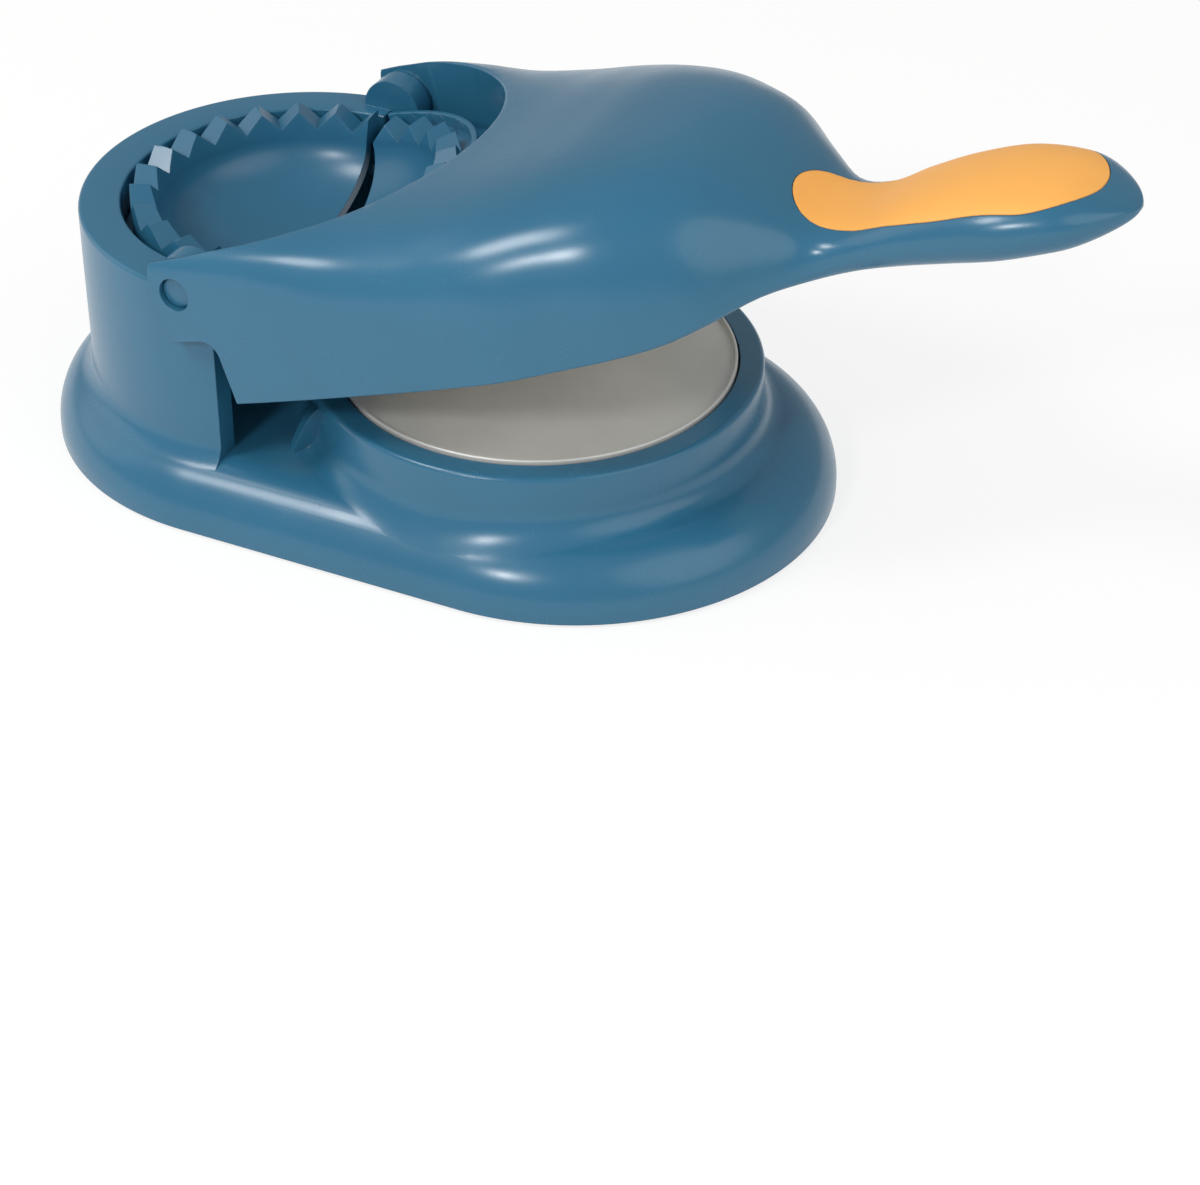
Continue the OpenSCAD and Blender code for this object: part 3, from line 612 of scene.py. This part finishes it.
def build_base():
    """The base shell: skirt, table and tower joined, hollowed, and fitted for the pins."""
    base = skirt("base_housing", 0, BASE_LOW[2])
    add_to(base, pedestal(), tower())
    table_roof, table_in = PLATE_SEAT - WALL, TABLE_R - WALL
    cut_from(base, skirt("hollow", WALL, BASE_LOW[2] - MM),
             upright("table_hollow", TABLE_X, 0, DECK - 4 * MM, table_roof, table_in, 160),
             upright("recess", TABLE_X, 0, PLATE_SEAT, TABLE_TOP + MM, RECESS_R, 200))
    add_to(base, pillar(1), pillar(-1), flank_rib(1), flank_rib(-1))
    hole_from, hole_to = PILLAR_IN + PIN_END_GAP, EAR_FACE + MM
    for side in (1, -1):
        cut_from(base, across("washer_room", side * EAR_FACE, side * (TOWER_R + MM),
                              EAR_R + WASHER_ROOM),
                 across("pin_hole", side * hole_from, side * hole_to, PIN_ROOT_R))
    finish_piece(base, BLUE_ABS, "body_plastic", "base", "base_shell")


# ---- Plate, feet and pins ----

def dished(name, x, radius, face, lip):
    """Sheet steel pressed into a shallow dish, open upwards, with a rolled lip."""
    roll, bend = SHEET / 2, SHEET_BEND
    flat, edge = radius - SHEET - bend, radius - roll
    outline = [(0, face), (flat, face)]
    outline += [(flat + bend * math.sin(t), face + bend * (1 - math.cos(t)))
                for t in quarter_turn(6, 1)]
    outline += arc(edge, face + lip - roll, roll, roll, 180, 0, 10)
    outline += arc(edge, face - SHEET + roll, roll, roll, 0, -90, 6)
    return lathe(name, outline + [(0, face - SHEET)], x, 240)


def build_plate():
    """The steel plate in the dough table."""
    face = PLATE_SEAT + CARRIER_T + SHEET
    plate = dished("steel_dough_plate", TABLE_X, PLATE_R, face, PLATE_LIP)
    finish_piece(plate, SATIN_STEEL, "plate_steel", "base", "dough_plate")


def build_feet():
    """One rubber foot turned and copied to its four places, with its push-through knob."""
    names = ("foot_rear_near", "foot_rear_far", "foot_front_near", "foot_front_far")
    low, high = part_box(names[0])
    radius = (high[0] - low[0]) / 2
    seat = BASE_LOW[2] + FOOT_SEAT
    inside = seat + WALL + KNOB_GAP
    outline = [(0, FOOT_HOLLOW), (radius - TREAD_IN, FOOT_HOLLOW), (radius - TREAD_OUT, 0)] \
        + arc(radius - FOOT_EDGE, FOOT_EDGE, FOOT_EDGE, FOOT_EDGE, -90, 0, 6) \
        + [(radius - FIT_GAP, seat), (KNOB_NECK_R, seat), (KNOB_NECK_R, inside)] \
        + arc(0, inside, KNOB_R, high[2] - inside, 0, 90, 8)
    master = lathe("foot", outline, 0, 64)
    for name in names:
        low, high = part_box(name)
        foot = copy_of(master, "rubber_" + name)
        place(foot, move=((low[0] + high[0]) / 2, (low[1] + high[1]) / 2, 0))
        finish_piece(foot, BLACK_RUBBER, "foot_rubber", "base", name)
    bpy.data.objects.remove(master)


def build_pins():
    """Stepped pivot pins, pressed into the ears and ending below the cheeks' outer faces."""
    low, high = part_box("pivot_pin_far")
    root, end, chamfer = low[1], high[1], PIN_CHAMFER
    outline = [(0, root), (PIN_ROOT_R, root), (PIN_ROOT_R, EAR_FACE), (PIN_R, EAR_FACE)] \
        + arc(PIN_R - chamfer, end - chamfer, chamfer, chamfer, 0, 90, 6) + [(0, end)]
    for name, side in (("pivot_pin_near", 1), ("pivot_pin_far", -1)):
        pin = lathe(name + "_turned", outline, 0, 96)
        place(pin, turn=(side * math.pi / 2, 0, 0), move=(TOWER_X, 0, AXIS_Z))
        finish_piece(pin, BLUE_ABS, "pin_plastic", "base", name)


# ---- Crimping mould ----

def half_bowl(name, tip, first, flange):
    """Half of a toothed bowl on the +X side of the pivot, its mating plane at the axis."""
    rim_low = min(tip - TOOTH_H, BOWL_TOP) - MOULD_WALL
    deep, out = rim_low + BOWL_FLOOR, BOWL_R + MOULD_WALL
    turns = quarter_turn(24)
    inside = [(BOWL_R * math.sin(t), BOWL_TOP - BOWL_DEEP * math.cos(t)) for t in turns]
    outside = [(out * math.cos(t), rim_low - deep * math.sin(t)) for t in turns]
    outline = inside + [(BOWL_R + RIM_STEP, tip), (RIM_R, tip)] + flange \
        + [(RIM_R - MOULD_WALL, rim_low)] + outside
    piece = lathe(name, outline, 0, 240)
    slope = (BOWL_R + RIM_R) / 2 * math.sin(TOOTH_PITCH / 2) * (1 + GROOVE_OVER)
    top = tip + TOOTH_H * GROOVE_OVER
    start = BOWL_R - GROOVE_IN
    wedge = [(start, -slope, top), (start, 0, tip - TOOTH_H), (start, slope, top)]
    grooves = []
    for k in range(-TEETH // 2, TEETH // 2 + 1):
        groove = prism("groove", wedge, (RIM_R - BOWL_R + GROOVE_LONGER, 0, 0))
        place(groove, turn=(0, 0, first + k * TOOTH_PITCH))
        grooves.append(groove)
    add_to(*grooves)
    cut_from(piece, grooves[0])
    take(piece)
    bpy.ops.object.mode_set(mode="EDIT")
    bpy.ops.mesh.select_all(action="SELECT")
    bpy.ops.mesh.bisect(plane_co=(FIT_GAP, 0, 0), plane_no=(1, 0, 0), use_fill=True,
                        clear_inner=True)
    bpy.ops.object.mode_set(mode="OBJECT")
    place(piece, move=(TOWER_X, 0, AXIS_Z))
    return piece


def build_moulds():
    """The rear half of the mould, fixed in the tower, and the front half, on the lever."""
    edge, rim_in = MOULD_EDGE, RIM_R - MOULD_WALL
    seat, rim = LEDGE - AXIS_Z, WELL_R - WELL_GAP
    top, tip = seat + MOULD_WALL, TOOTH_H - FRONT_TIP - CRIMP_GAP
    flange = [(RIM_R, top)] + arc(rim - edge, top - edge, edge, edge, 90, 0, 5) \
        + [(rim, seat), (rim_in, seat)]
    rear = half_bowl("rear_crimping_half", tip, TOOTH_PITCH / 2, flange)
    place(rear, turn=(0, 0, math.pi), about=(TOWER_X, 0, AXIS_Z))
    finish_piece(rear, MOULD_ABS, "mould_plastic", "base", "rear_mould")

    seat, collar_in = FLOOR_TOP - AXIS_Z, COLLAR_R - COLLAR_T
    shelf = FRONT_TIP - TOOTH_H + COLLAR_FLOOR
    flange = [(RIM_R, shelf), (collar_in, shelf)] \
        + arc(collar_in + edge, COLLAR_TOP - edge, edge, edge, 180, 90, 5) \
        + arc(COLLAR_R - edge, COLLAR_TOP - edge, edge, edge, 90, 0, 5) \
        + [(COLLAR_R, seat), (rim_in, seat)]
    front = half_bowl("front_crimping_half", FRONT_TIP, 0, flange)
    swing_up(front)
    finish_piece(front, MOULD_ABS, "mould_plastic", "lever", "front_mould")


# ---- Lever ----

def smooth_way(t, start, end, leave, arrive):
    """A place at a share t of a smooth way from start to end, with the slope at each."""
    return ((2 * t ** 3 - 3 * t ** 2 + 1) * start + (3 * t ** 2 - 2 * t ** 3) * end
            + (t ** 3 - 2 * t ** 2 + t) * leave + (t ** 3 - t ** 2) * arrive)


def curve_at(a, k):
    """Column k of the lever's table at a distance a from the pivot, as a smooth curve."""
    i = max(n for n in range(len(LEVER) - 1) if n == 0 or a >= LEVER[n][0])
    slopes = []
    for n in (i, i + 1):
        before, after = LEVER[max(n - 1, 0)], LEVER[min(n + 1, len(LEVER) - 1)]
        slopes.append((after[k] - before[k]) / (after[0] - before[0]))
    span = LEVER[i + 1][0] - LEVER[i][0]
    return smooth_way((a - LEVER[i][0]) / span, LEVER[i][k], LEVER[i + 1][k],
                      span * slopes[0], span * slopes[1])


def section_at(a, inset=0, drop=0, low=0):
    """Half width, top, lower edge, squareness and underside rounding, in millimetres."""
    past = max(0, (a - TIP_A + NOSE) / NOSE)
    f = math.sqrt(max(TIP_SHARE ** 2, 1 - past ** 2))
    top, bottom = curve_at(a, 2), curve_at(a, 3)
    middle = (top + bottom) / 2
    return (curve_at(a, 1) * f - inset, middle + (top - middle) * f - drop,
            middle + (bottom - middle) * f - low, curve_at(a, 4), curve_at(a, 5) * f)


def roof_at(a, y):
    """Height of the lever's upper face over a point of its plan, in millimetres."""
    w, top, low, n, r = section_at(a)
    share = max(0, 1 - (abs(y) / w) ** n)
    return low + r + (top - low - r) * share ** (1 / n)


def section_points(a, inset, drop, low_cut, around):
    """One closed cross-section of the lever, from its underside round over the top. The
    points lie closer where the side turns into the roof."""
    w, top, low, n, r = section_at(a, inset, drop, low_cut)
    base = low + r
    flank = [(w - r + r * math.cos(t), base + r * math.sin(t))
             for t in (math.radians(-90 + 15 * k) for k in range(6))]
    quarter = [math.radians(45 * (1 + math.copysign(abs(s) ** 1.5, s)))
               for s in (2 * k / around - 1 for k in range(around + 1))]
    roof = []
    for t in quarter + [math.pi - t for t in reversed(quarter[:-1])]:
        c, s = abs(math.cos(t)), abs(math.sin(t))
        reach = (c ** n + s ** n) ** (-1 / n)
        roof.append((math.copysign(w * c * reach, math.cos(t)), base + (top - base) * s * reach))
    points = flank + roof + [(-y, z) for y, z in reversed(flank)]
    return [(TOWER_X + a * MM, y * MM, z * MM) for y, z in points]


def skin(name, rows):
    """A solid skinned over rows of points, each a closed cross-section: a sheet rolled up."""
    rows = [row + row[:1] for row in rows]
    clear_bench()
    bpy.ops.mesh.primitive_grid_add(x_subdivisions=len(rows[0]) - 1, y_subdivisions=len(rows) - 1)
    piece = bpy.context.object
    piece.name = name
    piece.data.vertices.foreach_set("co", [c for row in rows for point in row for c in point])
    bpy.ops.object.mode_set(mode="EDIT")
    bpy.ops.mesh.select_all(action="SELECT")
    bpy.ops.mesh.remove_doubles(threshold=SAME_SKINNED)
    bpy.ops.mesh.fill_holes(sides=0)
    bpy.ops.mesh.select_all(action="SELECT")
    bpy.ops.mesh.normals_make_consistent(inside=False)
    bpy.ops.object.mode_set(mode="OBJECT")
    return piece


def lever_solid(name, start, stop, around=24, inset=0, drop=0, low=0, pitch=2.0):
    """The lever's shape, or one inside it by an inset at the sides, a drop at the top and a
    lower underside, over part of its length, in millimetres."""
    nose_from = TIP_A - NOSE
    last = min(stop, nose_from)
    count = max(1, round((last - start) / pitch))
    stations = [start + (last - start) * k / count for k in range(count + 1)]
    nose = [nose_from + NOSE * math.sin(math.radians(6 * k)) for k in range(1, 16)]
    stations += [a for a in nose if a <= stop + TINY / MM]
    return skin(name, [section_points(a, inset, drop, low, around) for a in stations])


def grip_outline(grow):
    """The long rounded outline of the grip, seen from above, in millimetres."""
    corners = [Vector(c) for c in GRIP] + [Vector((a, -y)) for a, y in reversed(GRIP[1:-1])]
    count, steps = len(corners), 5
    points = []
    for i in range(count):
        before, start, end, after = (corners[(i + k) % count] for k in (-1, 0, 1, 2))
        leave, arrive = (end - before) / 2, (after - start) / 2
        points += [smooth_way(k / steps, start, end, leave, arrive) for k in range(steps)]
    grown = []
    for i, point in enumerate(points):
        run = (points[(i + 1) % len(points)] - points[i - 1]).normalized()
        grown.append((point.x - run.y * grow, point.y + run.x * grow))
    return grown


def grip_prism(name, grow):
    """An upright block with the grip's outline."""
    outline = [(TOWER_X + a * MM, y * MM, GRIP_LOW) for a, y in grip_outline(grow)]
    return prism(name, outline, (0, 0, TOWER_TOP))


def grip_floor(name):
    """What lies under the grip."""
    return lever_solid(name, GRIP_FROM, GRIP_TO, drop=GRIP_T)


def cheek_side():
    """Side view of the space behind and below the cheeks."""
    rear, top, low = -CHEEK_BACK, AXIS_Z + CHEEK_RISE, AXIS_Z - NOTCH_BELOW
    notch, far = NOTCH_CORNER, 60 * MM
    points = [(-far, 0), (NOTCH_AHEAD, 0)]
    points += arc(NOTCH_AHEAD - notch, low - notch, notch, notch, 0, 90, 10)
    points += [(rear, low)]
    points += arc(rear + CHEEK_CORNER, top - CHEEK_CORNER, CHEEK_CORNER, CHEEK_CORNER, 180, 90, 14)
    points += [(rear + CHEEK_CORNER, top + MM), (-far, top + MM)]
    return [(TOWER_X + x, -far, z) for x, z in points]


def lever_floor():
    """The shelf round the front mould, inside the yoke."""
    inner, outer = LEDGE_R + SHELF_GAP, YOKE_R + SHELF_SINK
    outline = [(inner, FLOOR_LOW), (outer, FLOOR_LOW), (outer, FLOOR_TOP), (inner, FLOOR_TOP)]
    piece = lathe("shelf", outline, TOWER_X)
    far = 2 * YOKE_R
    cut_from(piece, block("behind", (TOWER_X - far, -far, 0), (TOWER_X + FIT_GAP, far, far)))
    ahead = TOWER_X + WALL_END + PILLAR_GAP
    for side in (1, -1):
        low_y, high_y = sorted((side * (PILLAR_IN - FIT_GAP), side * far))
        cut_from(piece, block("pillar_room", (TOWER_X - far, low_y, 0), (ahead, high_y, far)))
    return piece


def yoke_edge():
    """What is cut away to round the yoke's upper edge: a small cove run round the yoke."""
    yoke, steps, past = YOKE_R / MM, 120, 0.5
    rows = []
    for k in range(steps + 1):
        angle = -COVE_ANGLE + 2 * COVE_ANGLE * k / steps
        t = math.radians(angle)
        size = COVE * min(1, (COVE_ANGLE + 1 - abs(angle)) / COVE_RUNOUT)
        cove = [(size * (1 - math.cos(p)), size * (1 - math.sin(p))) for p in quarter_turn(7)]
        outline = [(-past, 0, -size)] + [(out, out, -down) for out, down in cove] \
            + [(size, size, 1), (-past, 0, 1)]
        rows.append([(TOWER_X + (yoke + out) * math.cos(t) * MM, (yoke + out) * math.sin(t) * MM,
                      (roof_at((yoke + at) * math.cos(t), (yoke + at) * math.sin(t)) + up) * MM)
                     for out, at, up in outline])
    return skin("yoke_edge", rows)


def build_lever():
    """The lever shell: a skinned solid, hollowed, cut out for the tower, with its floor,
    pivot bosses and the grip's pocket; and the grip that fills the pocket."""
    lever = lever_solid("lever_housing", LEVER_FROM, TIP_A)
    wall, full, far = WALL / MM, 2 * TOWER_TOP, 2 * YOKE_R
    inside = lever_solid("inside", HOLLOW_FROM, BODY_PANEL[1] + BODY_PAST, 12, wall, wall, 1, 4.0)
    cut_from(inside, upright("yoke_wall", TOWER_X, 0, 0, full, YOKE_R + WALL, 200))
    cut_from(lever, inside,
             lever_solid("handle_inside", HANDLE_PANEL[0] - HANDLE_BEFORE,
                         HANDLE_PANEL[1] + HANDLE_PAST, 12, wall, wall + GRIP_T, 1, 3.0),
             upright("yoke", TOWER_X, 0, 0, full, YOKE_R, 240),
             block("behind", (TOWER_X - far, -YOKE_R, 0), (TOWER_X, YOKE_R, full)),
             yoke_edge())
    add_to(lever, lever_floor())
    for side in (1, -1):
        add_to(lever, across("boss", side * BOSS_FACE, side * (YOKE_R + BOSS_SINK), BOSS_R))
    cut_from(lever, prism("cheek_side", cheek_side(), (0, 120 * MM, 0)))
    for side in (1, -1):
        cut_from(lever, across("pin_room", side * (BOSS_FACE - MM),
                               side * (BASE_HALF_W - 2 * MM), PIN_R + PIN_GAP))
    cut_from(lever, upright("plate_room", TABLE_X, 0, 20 * MM, PANEL_LOW, PLATE_R + MM, 200))
    pocket = grip_prism("pocket", GRIP_POCKET_GAP)
    cut_from(pocket, grip_floor("pocket_floor"))
    cut_from(lever, pocket)
    swing_up(lever)
    finish_piece(lever, BLUE_ABS, "body_plastic", "lever", "lever_shell")

    grip = grip_prism("soft_handle_grip", 0)
    combine(grip, lever_solid("roof", GRIP_FROM, TIP_A), "INTERSECT")
    cut_from(grip, grip_floor("floor"))
    swing_up(grip)
    finish_piece(grip, SOFT_GRIP, "grip_plastic", "lever", "handle_grip")


def panel(name, reach, pitch, low_at, thick):
    """A flat panel that fits inside the lever's walls, its lower face at low_at."""
    count = round((reach[1] - reach[0]) / pitch)
    rows = []
    for k in range(count + 1):
        a = reach[0] + (reach[1] - reach[0]) * k / count
        width, _, _, _, rounding = section_at(a)
        half, low = width - (WALL + 2 * FIT_GAP) / MM - rounding / 4, low_at(a)
        rows.append([(TOWER_X + a * MM, y * MM, z * MM) for y, z in
                     ((half, low), (half, low + thick), (-half, low + thick), (-half, low))])
    return skin(name, rows)


def build_covers():
    """The two panels under the lever, with their screw holes."""
    wall = WALL / MM
    cover = panel("lever_underside_panel", BODY_PANEL, 4, lambda a: PANEL_LOW / MM, wall)
    room = YOKE_R + WALL + FIT_GAP
    cut_from(cover, upright("yoke_room", TOWER_X, 0, 0, 2 * TOWER_TOP, room, 200))
    for ring, angles in ((POST_RING, POST_ANGLES), (PRESS_SCREW_RING, PRESS_SCREW_ANGLES)):
        for angle in map(math.radians, angles):
            x, y = TABLE_X + ring * math.cos(angle), ring * math.sin(angle)
            cut_from(cover, upright("screw_hole", x, y, PANEL_LOW - MM, PANEL_LOW + WALL + MM,
                                    PANEL_HOLE_R, 32))
    swing_up(cover)
    finish_piece(cover, COVER_ABS, "cover_plastic", "lever", "underside_cover")

    cover = panel("handle_underside_panel", HANDLE_PANEL, 3,
                  lambda a: section_at(a)[2] + HANDLE_RECESS, wall)
    for a, head in HANDLE_SCREWS:
        x, low = TOWER_X + a * MM, head * MM
        add_to(cover, upright("screw_boss", x, 0, low - 0.4 * MM, (head + 2.6) * MM,
                              SCREW_BOSS_R, 48))
        cut_from(cover, upright("head_room", x, 0, 0, (head + 1) * MM, SCREW_HEAD_R, 48),
                 upright("screw_hole", x, 0, 0, TOWER_TOP, HANDLE_HOLE_R, 32))
    swing_up(cover)
    finish_piece(cover, COVER_ABS, "cover_plastic", "lever", "handle_cover")


def build_press_disc():
    """The steel disc under the lever that presses the dough."""
    disc = dished("steel_press_disc", TABLE_X, PRESS_R, PRESS_FACE, PRESS_LIP)
    swing_up(disc)
    finish_piece(disc, SATIN_STEEL, "plate_steel", "lever", "press_disc")


build_base()
build_plate()
build_feet()
build_pins()
build_moulds()
build_lever()
build_covers()
build_press_disc()

# ---- Floor, light and camera ----

FLOOR_SIZE = 60
# Share of plain white in what the camera sees of the floor, and its strength
FLOOR_WHITE = 0.74
FLOOR_GLOW = 1.06
ROOM = 0.4
# Lamps: direction from the press, width of the disc in metres, power in watts
LAMP_AWAY = 1.2
LAMP_AIM = (0, 0, 0.03)
LAMPS = {"key": ((-0.42, -0.45, 0.79), 0.32, 4.2), "front": ((-0.09, -0.79, 0.60), 0.17, 3.6),
         "right": ((0.78, -0.16, 0.60), 1.2, 4.0), "left": ((-0.90, -0.10, 0.42), 0.9, 1.6)}

CAMERA_AZIMUTH = math.radians(26.04)
CAMERA_ELEVATION = math.radians(35.42)
CAMERA_DISTANCE = 753.46 * MM
CAMERA_TARGET = Vector((7.0, 0, -30.05)) * MM
CAMERA_LENS, CAMERA_SENSOR = 99, 36
CAMERA_NEAR = 10 * MM


def seen_directly(tree):
    """1 for a ray from the camera, a gloss or a clear piece, and 0 for one that only lights."""
    path = add(tree, "ShaderNodeLightPath").outputs
    seen = path["Is Camera Ray"]
    for kind in ("Is Glossy Ray", "Is Transmission Ray"):
        seen = add(tree, "ShaderNodeMath", {0: seen, 1: path[kind]},
                   operation="MAXIMUM").outputs["Value"]
    return seen


def build_floor():
    """A wide pale floor that looks nearly white and keeps the shadow."""
    clear_bench()
    bpy.ops.mesh.primitive_plane_add(size=FLOOR_SIZE)
    floor = bpy.context.object
    floor.name = "floor"
    material, tree, shader = new_material("pale_floor")
    shader.inputs["Base Color"].default_value = srgb("#F4F4F2")
    shader.inputs["Roughness"].default_value = 0.9
    share = add(tree, "ShaderNodeMath", {0: seen_directly(tree), 1: FLOOR_WHITE},
                operation="MULTIPLY")
    white = add(tree, "ShaderNodeEmission", {"Color": (1, 1, 1, 1), "Strength": FLOOR_GLOW})
    mix = add(tree, "ShaderNodeMixShader", {0: share.outputs["Value"], 1: shader.outputs["BSDF"],
                                            2: white.outputs["Emission"]})
    tree.links.new(mix.outputs["Shader"], tree.nodes["Material Output"].inputs["Surface"])
    floor.data.materials.append(material)


def area_lamp(name, spot, aim, size, power):
    """A disc lamp at a place, turned to what it lights."""
    data = bpy.data.lights.new(name, "AREA")
    data.shape = "DISK"
    data.size = size
    data.energy = power
    lamp = bpy.data.objects.new(name, data)
    bpy.context.collection.objects.link(lamp)
    lamp.location = spot
    lamp.rotation_euler = (Vector(aim) - Vector(spot)).to_track_quat("-Z", "Y").to_euler()


def build_light():
    """An even pale room, a key lamp over the near left, a second one lower at the front and
    a large soft one on each side."""
    world = bpy.data.worlds.new("studio")
    bpy.context.scene.world = world
    world.use_nodes = True
    background = world.node_tree.nodes["Background"]
    background.inputs["Color"].default_value = (1, 1, 1, 1)
    background.inputs["Strength"].default_value = ROOM
    for name, (towards, size, power) in LAMPS.items():
        area_lamp(name, Vector(towards) * LAMP_AWAY, LAMP_AIM, size, power)


def build_camera():
    """The camera where the photo's was fitted to stand."""
    data = bpy.data.cameras.new("camera")
    data.lens = CAMERA_LENS
    data.sensor_width = CAMERA_SENSOR
    data.clip_start = CAMERA_NEAR
    camera = bpy.data.objects.new("camera", data)
    bpy.context.collection.objects.link(camera)
    level = math.cos(CAMERA_ELEVATION)
    away = Vector((math.sin(CAMERA_AZIMUTH) * level, -math.cos(CAMERA_AZIMUTH) * level,
                   math.sin(CAMERA_ELEVATION)))
    camera.location = CAMERA_TARGET + away * CAMERA_DISTANCE
    camera.rotation_euler = (math.pi / 2 - CAMERA_ELEVATION, 0, CAMERA_AZIMUTH)
    bpy.context.scene.camera = camera


build_floor()
build_light()
build_camera()
bpy.context.scene.view_settings.view_transform = "Standard"
